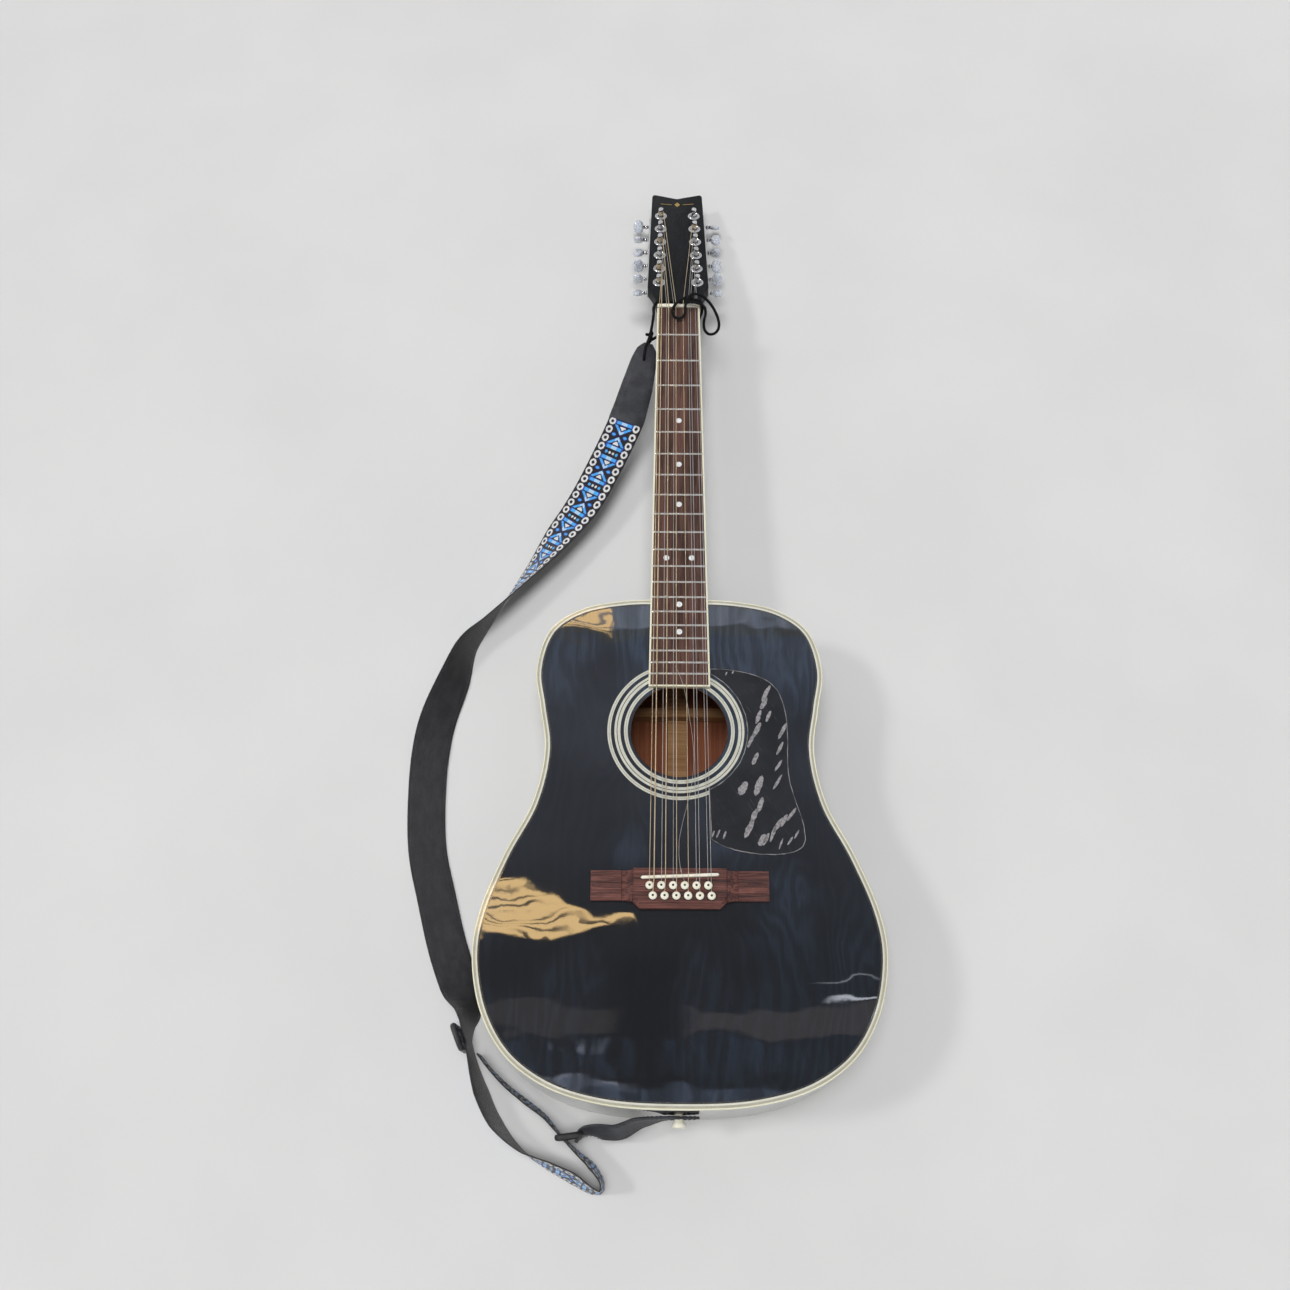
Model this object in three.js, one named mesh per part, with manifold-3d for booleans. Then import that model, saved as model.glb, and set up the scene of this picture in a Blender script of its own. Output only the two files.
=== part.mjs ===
// A twelve-string acoustic guitar with its woven strap, lying on its back. Millimetres, +Z up.
// The origin is on the flat of the back, +Y points to the headstock and +X to the treble side.
import * as THREE from "three";
import { mergeVertices } from "three/addons/utils/BufferGeometryUtils.js";
import Module from "manifold-3d";

const wasm = await Module();
wasm.setup();

// ---- driving dimensions ----
const SCALE = 648; // string length, nut to saddle
const BODY_START = 359.4; // distances from the nut: the 14th fret, where the body starts
const BODY_END = 860;
const MIDDLE = (BODY_START + BODY_END) / 2; // this distance from the nut lies over the origin
const DEPTH_HEEL = 98; // depth of the body at the heel and at the tail
const DEPTH_TAIL = 120;
const ARCH = 5; // how far the arched back stands below its own rim
const TILT = Math.atan2(DEPTH_TAIL - DEPTH_HEEL, BODY_END - BODY_START);
const MID_DEPTH = (DEPTH_HEEL + DEPTH_TAIL) / 2;
const GAP = 0.3; // between pieces that touch
const PLATE = 3; // top and back
const RIM = 2.5; // side wood
const PURFLING = 6.9; // width of the top's binding with its inlaid lines
const LINING_WIDTH = 6.2;
const LINING_DEPTH = 12;
const FACET_INSET = 38; // from the outline to the flat of the back
const HOLE_AT = 502; // soundhole
const HOLE_RADIUS = 48;
const ROSETTE = [50.7, 71.9];
const NUT_WIDTH = 47.6;
const WIDENING = 0.0309; // fingerboard width gained for each millimetre from the nut
const BOARD_END = 457.5;
const BOARD_TOP = 6.5;
const FRET_TOP = 7.5;
const FRETS = 20;
const NUT_TOP = 8;
const NUT_BACK = 6; // the nut's back edge, headward of the nut line
const HEAD_ANGLE = THREE.MathUtils.degToRad(14);
const HEAD_THICK = 13.7;
const VENEER = 1.5;
const POST_FIRST = 41; // along the headstock from the nut's back edge
const POST_PITCH = 24.8;
const POST_SPREAD = [22, 19.7]; // distance from the centre line, first and last post
const POSTS_A_SIDE = 6;
const POST_RADIUS = 3;
const POST_HEIGHT = 11;
const GEAR_RADIUS = 5.2;
const WORM_OFFSET = 8; // worm shaft, tipward of its post
const WORM_DEPTH = 21.5; // worm shaft, below the headstock's face
const BUTTON_AT = 46.5;
const BUTTON_SIZE = [12.5, 16.5, 6]; // along its shaft, across it, thickness
const BUTTON_TURNS = [25, 70, 100, 15, 55, 130, 160, 80, 40, 110, 5, 150]; // at rest, degrees
const SADDLE_AT = 650.5;
const SADDLE_TOP = 11.6;
const SADDLE_SLANT = -0.042;
const BRIDGE_TOP = 9.3;
const WING_TOP = 5.5;
const COURSE_PITCH_NUT = 8.1;
const PAIR_GAP_NUT = 2.4;
const PIN_ROWS = [659.7, 669.5]; // octave strings' pins, main strings' pins
const PIN_PITCH = 11.05;
const PIN_FIRST = [-28.7, -25.6];
const PIN_RADIUS = 2.4;
const PIN_TOP = 13;
const STRING_RADIUS = 0.5;
const SADDLE_PAIRS = [ // where each course's two strings cross the saddle
  [-28.8, -24.5], [-17.4, -13.7], [-6.4, -3.2], [4.3, 7.9], [15.4, 18.5], [26.3, 29.3],
];
const PIN_HEIGHT = -58; // end pin, below the top
const STRAP_WIDTH = 40;
const STRAP_THICK = 1.8;
const LACE_RADIUS = 1.6;

// ---- frames ----
const root = new THREE.Group();
const guitar = new THREE.Group(); // z = 0 is the top's surface, y = 0 is over the origin
guitar.rotation.x = -TILT;
guitar.position.z = ARCH + MID_DEPTH * Math.cos(TILT);
root.add(guitar);
const head = new THREE.Group(); // z = 0 is the headstock's face, y = 0 the nut's back edge
head.rotation.x = -HEAD_ANGLE;
head.position.set(0, MIDDLE + NUT_BACK, 1.7);
guitar.add(head);
root.updateMatrixWorld(true);

const along = (fromNut) => MIDDLE - fromNut;
const backRim = (x, y) => -MID_DEPTH + y * Math.tan(TILT);
const backFlat = (x, y) => backRim(x, y) - ARCH / Math.cos(TILT);
const raised = (surface, by) => (x, y) => surface(x, y) + by;
const headPoint = (x, y, z) => head.localToWorld(new THREE.Vector3(x, y, z));
const fromHead = (x, y, z) => guitar.worldToLocal(headPoint(x, y, z));
const boardHalf = (fromNut) => (NUT_WIDTH + WIDENING * fromNut) / 2;

// ---- materials ----
const material = (color, roughness, metalness = 0) =>
  new THREE.MeshStandardMaterial({ color, roughness, metalness });
const lacquer = material(0x0b0c0e, 0.15);
const spruce = material(0xc9a877, 0.7);
const mahogany = material(0x5a2a18, 0.55);
const rosewood = material(0x3a221b, 0.55);
const ivoroid = material(0xe6e1c4, 0.35);
const bone = material(0xf0ede2, 0.4);
const chrome = material(0xd0d3d6, 0.2, 1);
const steel = material(0xb9a98a, 0.35, 1);
const plastic = material(0x17181a, 0.5);
const leather = material(0x141516, 0.6);
const webbing = material(0x1d2a4a, 0.85);
const lacing = material(0x0c0c0d, 0.8);

// ---- geometry helpers ----
function body(positions, index) {
  let volume = 0;
  const [a, b, c] = [new THREE.Vector3(), new THREE.Vector3(), new THREE.Vector3()];
  for (let i = 0; i < index.length; i += 3) {
    a.copy(positions[index[i]]);
    b.copy(positions[index[i + 1]]);
    c.copy(positions[index[i + 2]]);
    volume += a.dot(b.cross(c));
  }
  const faces = volume < 0 ? index.reverse() : index;
  return new THREE.BufferGeometry().setFromPoints(positions).setIndex(faces);
}

// Skins a stack of loops with the same number of points, and closes both ends.
// flatten turns a loop's point into the plane that its end cap is triangulated in.
// With a twist, opposite walls split their squares along the same diagonal, so they stay apart.
function skin(loops, flatten = (p) => new THREE.Vector2(p.x, p.y), twists = false) {
  const count = loops[0].length;
  const index = [];
  for (let k = 0; k < loops.length - 1; k++)
    for (let i = 0; i < count; i++) {
      const j = (i + 1) % count;
      const [p, q, r, s] = [k * count + i, k * count + j, (k + 1) * count + j, (k + 1) * count + i];
      if (twists && i >= count / 2) index.push(p, q, s, q, r, s);
      else index.push(p, q, r, p, r, s);
    }
  for (const k of [0, loops.length - 1]) {
    const flat = loops[k].map(flatten);
    const clockwise = THREE.ShapeUtils.area(flat) < 0;
    const turned = (k === 0) !== clockwise;
    for (const face of THREE.ShapeUtils.triangulateShape(flat, [])) {
      const backward = THREE.ShapeUtils.area(face.map((i) => flat[i])) < 0;
      const [p, q, r] = face.map((i) => k * count + i);
      if (turned !== backward) index.push(p, r, q);
      else index.push(p, q, r);
    }
  }
  return body(loops.flat(), index);
}

// A flat outline between two heights, each a number or a function of x and y.
function slab(outline, low, high, holes = []) {
  const height = (level, x, y) => (typeof level === "number" ? level : level(x, y));
  const shape = outline instanceof THREE.Shape ? outline : new THREE.Shape(outline);
  shape.holes = holes.map((hole) => new THREE.Path(hole));
  const made = new THREE.ExtrudeGeometry(shape, { depth: 1, bevelEnabled: false, curveSegments: 6 });
  const p = made.attributes.position;
  for (let i = 0; i < p.count; i++)
    p.setZ(i, height(p.getZ(i) > 0.5 ? high : low, p.getX(i), p.getY(i)));
  return made;
}

const rectangle = (x0, y0, x1, y1) => [
  new THREE.Vector2(x0, y0),
  new THREE.Vector2(x1, y0),
  new THREE.Vector2(x1, y1),
  new THREE.Vector2(x0, y1),
];

function circle(radius, sides, x = 0, y = 0) {
  return Array.from({ length: sides }, (_, i) => {
    const turn = (i / sides) * 2 * Math.PI;
    return new THREE.Vector2(x + radius * Math.cos(turn), y + radius * Math.sin(turn));
  });
}

function cylinder(radius, from, to, sides = 12) {
  const axis = new THREE.Vector3().subVectors(to, from);
  const made = new THREE.CylinderGeometry(radius, radius, axis.length(), sides);
  made.applyQuaternion(
    new THREE.Quaternion().setFromUnitVectors(new THREE.Vector3(0, 1, 0), axis.clone().normalize()),
  );
  const centre = from.clone().add(to).multiplyScalar(0.5);
  return made.translate(centre.x, centre.y, centre.z);
}

// A straight-sided rod through a list of points, with mitred corners.
function rod(points, radius, sides = 6) {
  const loops = points.map((p, i) => {
    const before = points[Math.max(i - 1, 0)];
    const after = points[Math.min(i + 1, points.length - 1)];
    const ahead = new THREE.Vector3().subVectors(after, before).normalize();
    const side = new THREE.Vector3().crossVectors(ahead, new THREE.Vector3(0, 0, 1)).normalize();
    const up = new THREE.Vector3().crossVectors(side, ahead);
    return circle(radius, sides).map((c) =>
      p.clone().addScaledVector(side, c.x).addScaledVector(up, c.y),
    );
  });
  return skin(loops, (p) => new THREE.Vector2(p.x, p.z));
}

// A strip along a smooth path. Each station is [x, y, z, roll in degrees, width]; roll 0 lies flat.
function strip(stations, thickness, steps) {
  const path = new THREE.CatmullRomCurve3(
    stations.map(([x, y, z]) => new THREE.Vector3(x, y, z)),
    false,
    "centripetal",
  );
  const loops = [];
  for (let k = 0; k <= steps; k++) {
    const t = k / steps;
    const place = t * (stations.length - 1);
    const i = Math.min(Math.floor(place), stations.length - 2);
    const blend = place - i;
    const mix = (n) => stations[i][n] * (1 - blend) + stations[i + 1][n] * blend;
    const roll = THREE.MathUtils.degToRad(mix(3));
    const ahead = path.getTangent(t);
    const side = new THREE.Vector3(-ahead.y, ahead.x, 0).normalize();
    const up = new THREE.Vector3().crossVectors(ahead, side).normalize();
    const across = side.clone().multiplyScalar(Math.cos(roll)).addScaledVector(up, Math.sin(roll));
    const out = up.multiplyScalar(Math.cos(roll)).addScaledVector(side, -Math.sin(roll));
    const centre = path.getPoint(t);
    const corner = (a, b) =>
      centre.clone().addScaledVector(across, (a * mix(4)) / 2).addScaledVector(out, (b * thickness) / 2);
    loops.push([corner(-1, -1), corner(1, -1), corner(1, 1), corner(-1, 1)]);
  }
  // The two ends face different ways, so each is closed as the rectangle it is.
  return skin(loops, (p, i) => rectangle(-1, -1, 1, 1)[i], true);
}

function solid(made) {
  const plain = made.clone();
  plain.deleteAttribute("normal");
  plain.deleteAttribute("uv");
  const merged = mergeVertices(plain, 1e-4);
  return new wasm.Manifold(
    new wasm.Mesh({
      numProp: 3,
      vertProperties: new Float32Array(merged.attributes.position.array),
      triVerts: new Uint32Array(merged.index.array),
    }),
  );
}

function geometryOf(manifold) {
  const m = manifold.getMesh();
  const made = new THREE.BufferGeometry();
  made.setAttribute("position", new THREE.BufferAttribute(new Float32Array(m.vertProperties), 3));
  made.setIndex(new THREE.BufferAttribute(new Uint32Array(m.triVerts), 1));
  return made;
}

const joined = (pieces) => geometryOf(pieces.map(solid).reduce((a, b) => a.add(b)));
const cut = (piece, tools) =>
  geometryOf(tools.map(solid).reduce((a, b) => a.subtract(b), solid(piece)));

function place(name, geometry, look, parent = guitar) {
  const mesh = new THREE.Mesh(geometry, look);
  mesh.name = name;
  parent.add(mesh);
  return mesh;
}

// ---- the body's outline ----
// Half widths and distances from the nut, from the neck joint round to the tail.
const HALF_OUTLINE = [
  [55, 360.5], [102, 371], [132, 394], [144.5, 438], [139, 478], [133, 522], [143, 576], [168, 627],
  [189, 683], [194, 722], [184, 774], [160, 814], [122, 841], [70, 856],
];
const outlineCurve = new THREE.CatmullRomCurve3(
  [
    [0, BODY_START],
    ...HALF_OUTLINE,
    [0, BODY_END],
    ...HALF_OUTLINE.map(([x, s]) => [-x, s]).reverse(),
  ].map(([x, s]) => new THREE.Vector3(x, along(s), 0)),
  true,
  "centripetal",
);
const OUTLINE_POINTS = 60;

function outline(inset) {
  const sample = (i) => outlineCurve.getPoint((2 * OUTLINE_POINTS - i) / OUTLINE_POINTS % 1);
  return Array.from({ length: OUTLINE_POINTS }, (_, i) => {
    const here = sample(i);
    const ahead = sample(i + 1).sub(sample(i - 1)).normalize();
    return new THREE.Vector2(here.x - inset * ahead.y, here.y + inset * ahead.x);
  });
}

const ring = (outer, inner, low, high) => slab(outline(outer), low, high, [outline(inner)]);

// ---- soundboard, sides and back ----
function ringLathe(inner, outer, low, high) {
  const corners = [[inner, low], [outer, low], [outer, high], [inner, high], [inner, low]];
  const profile = corners.map(([r, z]) => new THREE.Vector2(r, z));
  return new THREE.LatheGeometry(profile, 36).rotateX(Math.PI / 2);
}

function topPlate() {
  const hole = circle(HOLE_RADIUS, 36, 0, along(HOLE_AT));
  const plate = slab(outline(PURFLING + GAP), -PLATE, 0, [hole]);
  const groove = ringLathe(ROSETTE[0] - GAP, ROSETTE[1] + GAP, -1, 1).translate(0, along(HOLE_AT), 0);
  return cut(plate, [groove]);
}

function backPlate() {
  const level = (inset, surface) =>
    outline(inset).map((p) => new THREE.Vector3(p.x, p.y, surface(p.x, p.y)));
  const edge = RIM + GAP;
  return skin([
    level(FACET_INSET, raised(backFlat, PLATE)),
    level(edge, raised(backRim, PLATE)),
    level(edge, backRim),
    level(FACET_INSET, backFlat),
  ]);
}

function endPinHole(radius) {
  const from = new THREE.Vector3(0, along(BODY_END + 10), PIN_HEIGHT);
  return cylinder(radius, from, from.clone().setY(along(BODY_END - 40)));
}

function shell() {
  place("top_plate", topPlate(), lacquer);
  const rosette = ringLathe(...ROSETTE, -0.7, 0).translate(0, along(HOLE_AT), 0);
  place("rosette", rosette, ivoroid);
  place("top_binding", ring(0, PURFLING, -PLATE, 0), ivoroid);
  const sides = ring(0, RIM, raised(backRim, PLATE + GAP), -PLATE - GAP);
  place("side_rim", cut(sides, [endPinHole(4.2)]), lacquer);
  place("back_binding", ring(0, RIM, backRim, raised(backRim, PLATE)), ivoroid);
  place("back_plate", backPlate(), lacquer);
}

// ---- inside the body ----
function block(halfWidth, outerEnd, shoulder, innerEnd) {
  const low = raised(backRim, PLATE + GAP);
  const high = -PLATE - GAP;
  const clear = LINING_DEPTH + 2 * GAP;
  const [a, b, c] = [outerEnd, shoulder, innerEnd].map(along);
  const sorted = (p, q) => [Math.min(p, q), Math.max(p, q)];
  const [c0, c1] = sorted(b, c);
  const [t0, t1] = sorted(a, b + Math.sign(c - b) * 0.5);
  return joined([
    slab(rectangle(-halfWidth, c0, halfWidth, c1), low, high),
    slab(rectangle(-halfWidth * 0.8, t0, halfWidth * 0.8, t1), raised(low, clear), high - clear),
  ]);
}

// A straight bar under the top, from one [x, distance] to the other.
function bar([x0, s0], [x1, s1], width, low, high) {
  const from = new THREE.Vector2(x0, along(s0));
  const to = new THREE.Vector2(x1, along(s1));
  const off = to.clone().sub(from).normalize().multiplyScalar(width / 2);
  const side = new THREE.Vector2(-off.y, off.x);
  const back = side.clone().negate();
  const corners = [[from, back], [to, back], [to, side], [from, side]];
  return slab(corners.map(([end, by]) => end.clone().add(by)), low, high);
}

function topBraces() {
  const cross = 572; // where the X crosses
  const spread = Math.tan(THREE.MathUtils.degToRad(50)); // half width gained for each millimetre along
  const leg = (x) => [x, cross + Math.abs(x) / spread];
  const arm = (x) => [x, cross - Math.abs(x) / spread];
  const high = -PLATE - GAP;
  const bars = [
    [arm(-125), leg(165)],
    [arm(125), leg(-165)],
    [[-120, 432], [120, 432]],
    [[-68, 432], arm(-75)],
    [[68, 432], arm(75)],
    [leg(-115), [50, 770]],
    [leg(-145), [0, 800]],
  ];
  return joined(bars.map(([a, b]) => bar(a, b, 7, high - 10, high)));
}

function backBraces() {
  const seamStrip = slab(
    rectangle(-10, along(818), 10, along(416)),
    raised(backFlat, PLATE + GAP),
    raised(backFlat, PLATE + 3),
  );
  const stations = [[451, 122, 75], [565, 118, 72], [680, 165, 118], [795, 140, 90]];
  const braces = stations.map(([s, end, flat]) => {
    const section = (x, rise, tall) => {
      const foot = backFlat(0, along(s)) + PLATE + 2 * GAP + rise;
      return [[-5, 0], [5, 0], [5, tall], [-5, tall]].map(
        ([y, z]) => new THREE.Vector3(x, along(s) + y, foot + z),
      );
    };
    return skin(
      [section(-end, ARCH, 5), section(-flat, 0, 15), section(flat, 0, 15), section(end, ARCH, 5)],
      (p) => new THREE.Vector2(p.y, p.z),
    );
  });
  return joined([seamStrip, ...braces]);
}

function inside() {
  const under = -PLATE - GAP;
  const inner = RIM + GAP + LINING_WIDTH;
  const foot = raised(backRim, PLATE + GAP);
  place("top_lining", ring(RIM + GAP, inner, under - LINING_DEPTH, under), spruce);
  place("back_lining", ring(RIM + GAP, inner, foot, raised(foot, LINING_DEPTH)), spruce);
  place("neck_block", block(40, BODY_START + 4, BODY_START + 11, BODY_START + 54), mahogany);
  const tail = block(34, BODY_END - 4, BODY_END - 11, BODY_END - 26);
  place("tail_block", cut(tail, [endPinHole(4.2)]), mahogany);
  place("top_braces", topBraces(), spruce);
  place("back_braces", backBraces(), spruce);
  const plate = slab(rectangle(-56, along(692), 56, along(634)), under - 3, under);
  place("bridge_plate", plate, rosewood);
}

// ---- neck, fingerboard and headstock ----
function headOutline(start) {
  const edge = new THREE.Shape();
  edge.moveTo(-24, start);
  edge.lineTo(24, start);
  edge.quadraticCurveTo(26.5, 17, 35, 33);
  edge.lineTo(30.3, 203);
  edge.quadraticCurveTo(30, 208, 26, 207.3);
  edge.lineTo(0, 199.6);
  edge.lineTo(-26, 207.3);
  edge.quadraticCurveTo(-30, 208, -30.3, 203);
  edge.lineTo(-35, 33);
  edge.quadraticCurveTo(-26.5, 17, -24, start);
  return edge;
}

const postPlaces = [];
for (const side of [-1, 1])
  for (let i = 0; i < POSTS_A_SIDE; i++) {
    const share = i / (POSTS_A_SIDE - 1);
    const x = side * (POST_SPREAD[0] * (1 - share) + POST_SPREAD[1] * share);
    postPlaces.push({ side, x, y: POST_FIRST + i * POST_PITCH });
  }

const postHoles = (radius) =>
  postPlaces.map(({ x, y }) =>
    cylinder(radius, new THREE.Vector3(x, y, -40), new THREE.Vector3(x, y, 20), 8),
  );

function neck() {
  // Distance from the nut, half width and depth below the fingerboard.
  const stations = [
    [-NUT_BACK, 23.8, 14.5], [40, 24.4, 15.5], [150, 26.1, 16.5], [285, 28.2, 18], [308, 28.5, 25],
    [328, 28.6, 44], [344, 28.6, 67], [BODY_START - 0.5, 28, 88],
  ];
  const loops = stations.map(([s, half, depth]) =>
    Array.from({ length: 11 }, (_, i) => {
      const turn = (i / 10) * Math.PI;
      return new THREE.Vector3(half * Math.cos(turn), along(s), -depth * Math.sin(turn));
    }),
  );
  const shaft = skin(loops, (p) => new THREE.Vector2(p.x, p.z));
  const channel = slab(rectangle(-3.3, along(345), 3.3, along(10)), -9.5, 1);
  const paddle = cut(slab(headOutline(-1), -HEAD_THICK, -VENEER - GAP), postHoles(4.3));
  paddle.applyMatrix4(head.matrix);
  return cut(joined([shaft, paddle]), [channel]);
}

function fingerboard() {
  const trapezoid = (s0, s1, inset = 0) => [
    new THREE.Vector2(-boardHalf(s0) + inset, along(s0)),
    new THREE.Vector2(-boardHalf(s1) + inset, along(s1)),
    new THREE.Vector2(boardHalf(s1) - inset, along(s1)),
    new THREE.Vector2(boardHalf(s0) - inset, along(s0)),
  ];
  const pieces = [slab(trapezoid(GAP, BOARD_END), GAP, BOARD_TOP)];
  for (let n = 1; n <= FRETS; n++) {
    const s = SCALE * (1 - 2 ** (-n / 12));
    pieces.push(slab(trapezoid(s - 1.1, s + 1.1, 1), BOARD_TOP - 0.5, FRET_TOP));
  }
  return joined(pieces);
}

function neckParts() {
  place("neck", neck(), lacquer);
  const rodBox = slab(rectangle(-3, along(344.5), 3, along(10.5)), -9.2, -GAP);
  place("truss_rod", rodBox, steel);
  place("fingerboard", fingerboard(), rosewood);
  const nut = slab(rectangle(-23.7, along(-GAP), 23.7, along(GAP - NUT_BACK)), GAP, NUT_TOP);
  place("nut", nut, bone);
  const veneer = cut(slab(headOutline(GAP), -VENEER, 0), postHoles(4.3));
  place("headstock_veneer", veneer, lacquer, head);
}

// ---- tuning machines ----
function tunerPlate(side) {
  const mine = postPlaces.filter((p) => p.side === side);
  const ends = [mine[0], mine[mine.length - 1]];
  const back = -HEAD_THICK - GAP;
  const strap = slab(
    [
      new THREE.Vector2(ends[0].x - 8, ends[0].y - 11),
      new THREE.Vector2(ends[0].x + 8, ends[0].y - 11),
      new THREE.Vector2(ends[1].x + 8, ends[1].y + 16),
      new THREE.Vector2(ends[1].x - 8, ends[1].y + 16),
    ],
    back - 1.2,
    back,
  );
  // Two ears beside each worm carry its shaft.
  const ears = mine.flatMap(({ x, y }) =>
    [5.6, 12.4].map((out) => {
      const [x0, y0] = [x + side * out - 0.8, y + WORM_OFFSET - 3.6];
      return slab(rectangle(x0, y0, x0 + 1.6, y0 + 7.2), -WORM_DEPTH - 3.6, back - 0.8);
    }),
  );
  const sill = slab(
    [
      new THREE.Vector2(ends[0].x + side * 4, ends[0].y - 2),
      new THREE.Vector2(ends[0].x + side * 14, ends[0].y - 2),
      new THREE.Vector2(ends[1].x + side * 14, ends[1].y + 14),
      new THREE.Vector2(ends[1].x + side * 4, ends[1].y + 14),
    ],
    back - 1.2,
    back,
  );
  const shafts = mine.map(({ x, y }) =>
    cylinder(
      1.9,
      new THREE.Vector3(x + side * 2, y + WORM_OFFSET, -WORM_DEPTH),
      new THREE.Vector3(x + side * 20, y + WORM_OFFSET, -WORM_DEPTH),
      6,
    ),
  );
  return cut(joined([strap, sill, ...ears]), [...postHoles(3.6), ...shafts]);
}

function tunerPost() {
  const back = -HEAD_THICK - GAP - 1.2;
  const gear = new THREE.CylinderGeometry(GEAR_RADIUS, GEAR_RADIUS, 4, 12);
  gear.rotateX(Math.PI / 2).translate(0, 0, -WORM_DEPTH);
  const upright = (z) => new THREE.Vector3(0, 0, z);
  const post = cylinder(POST_RADIUS, upright(back - 6), upright(POST_HEIGHT), 8);
  const hole = cylinder(0.8, new THREE.Vector3(0, -9, 7), new THREE.Vector3(0, 9, 7), 4);
  return cut(joined([post, gear]), [hole]);
}

// Built with its shaft along +X from the post's axis, its worm beside the gear.
function tunerKey(postX) {
  const reach = BUTTON_AT - Math.abs(postX);
  const turned = (radius, x0, x1) =>
    cylinder(radius, new THREE.Vector3(x0, 0, 0), new THREE.Vector3(x1, 0, 0), 8);
  const shaft = turned(1.4, -4.5, reach);
  const worm = turned(2.3, -3.4, 3.4);
  const [wide, tall, thick] = BUTTON_SIZE;
  const button = new THREE.CylinderGeometry(0.5, 0.5, 1, 14).scale(wide, thick, tall);
  button.translate(reach, 0, 0);
  const collar = turned(2.6, 13.8, reach - wide / 2 + 1.5);
  return joined([shaft, worm, collar, button]);
}

function tuners() {
  place("tuner_plate_bass", tunerPlate(-1), chrome, head);
  place("tuner_plate_treble", tunerPlate(1), chrome, head);
  postPlaces.forEach(({ side, x, y }, i) => {
    const post = place(`tuner_post_${i + 1}`, tunerPost(), chrome, head);
    post.position.set(x, y, 0);
    const key = place(`tuner_key_${i + 1}`, tunerKey(x), chrome, head);
    key.position.set(x, y + WORM_OFFSET, -WORM_DEPTH);
    key.rotation.z = side < 0 ? Math.PI : 0;
    key.rotateX(THREE.MathUtils.degToRad(BUTTON_TURNS[i]));
  });
}

// ---- bridge, strings and pickguard ----
const saddleLine = (x) => SADDLE_AT + SADDLE_SLANT * x;
const pinX = (row, course) => PIN_FIRST[row] + course * PIN_PITCH;

function bridge() {
  const wings = slab(rectangle(-84.5, along(672.8), 84.5, along(644.2)), GAP, WING_TOP);
  const centre = [
    [-44.7, 642.5], [44.7, 642.5], [44.7, 674], [38, 680.5], [-38, 680.5], [-44.7, 674],
  ].map(([x, s]) => new THREE.Vector2(x, along(s)));
  const slot = bar([-39.5, saddleLine(-39.5)], [39.5, saddleLine(39.5)], 3.9, 4, 30);
  const pins = PIN_ROWS.flatMap((s, row) =>
    SADDLE_PAIRS.map((_, course) => {
      const at = new THREE.Vector3(pinX(row, course), along(s), BRIDGE_TOP - 1);
      return cylinder(PIN_RADIUS, at, at.clone().setZ(PIN_TOP), 8);
    }),
  );
  return joined([cut(joined([wings, slab(centre, GAP, BRIDGE_TOP)]), [slot]), ...pins]);
}

const nutX = (course, member) =>
  (course - 2.5) * COURSE_PITCH_NUT + (member - 0.5) * PAIR_GAP_NUT;

// The post that a string winds on: each course takes two posts, the outer courses the nearest ones.
function postOf(course, member) {
  const bass = course < 3;
  const pair = bass ? course : 5 - course;
  const further = bass ? member : 1 - member; // the outermost string takes the nearer post
  return postPlaces[(bass ? 0 : POSTS_A_SIDE) + pair * 2 + further];
}

function wholeString(course, member) {
  const over = SADDLE_TOP + GAP + STRING_RADIUS;
  const nutOver = NUT_TOP + GAP + STRING_RADIUS;
  const at = (x, s, z) => new THREE.Vector3(x, along(s), z);
  const x = SADDLE_PAIRS[course][member];
  const post = postOf(course, member);
  const clear = POST_RADIUS + GAP + 2 * STRING_RADIUS;
  return [
    at(pinX(member, course), PIN_ROWS[member] - PIN_RADIUS - 2 * STRING_RADIUS, BRIDGE_TOP + 1),
    at(x, saddleLine(x) + 3, over),
    at(x, saddleLine(x) - 3, over),
    at(nutX(course, member), 0.6, nutOver),
    at(nutX(course, member), -NUT_BACK - 0.4, nutOver),
    fromHead(post.x - post.side * clear, post.y, 5),
  ];
}

// What is left of the octave string that broke: it springs from its pin and lies over the others.
const BROKEN = [
  [4.4, 655.9, 10.3], [3.4, 653.5, 12.4], [1, 646, 13.2], [-1, 632, 14], [-0.5, 616, 14.4], [2.6, 600, 14.6],
  [8, 578, 15], [12, 558, 15.4], [13.6, 536, 15.6], [12.8, 518, 15.4], [9.8, 495, 14.8], [6, 470, 14],
  [1.4, 452, 13.4], [-4.4, 438, 13.2],
];

function course(number) {
  const main = wholeString(number, 1);
  const broken = number === 3;
  const octave = broken
    ? BROKEN.map(([x, s, z]) => new THREE.Vector3(x, along(s), z))
    : wholeString(number, 0);
  // The pair is joined by a short link beside the pins.
  const share = (main[0].y - octave[0].y) / (main[0].y - main[1].y);
  const meet = main[0].clone().lerp(main[1], share);
  return joined([
    rod(main, STRING_RADIUS),
    rod(octave, broken ? STRING_RADIUS * 0.7 : STRING_RADIUS),
    rod([octave[0].clone().setY(octave[0].y + 0.4), meet], STRING_RADIUS * 0.8),
  ]);
}

const COURSE_NAMES = ["low_e", "a", "d", "g", "b", "high_e"];

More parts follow.
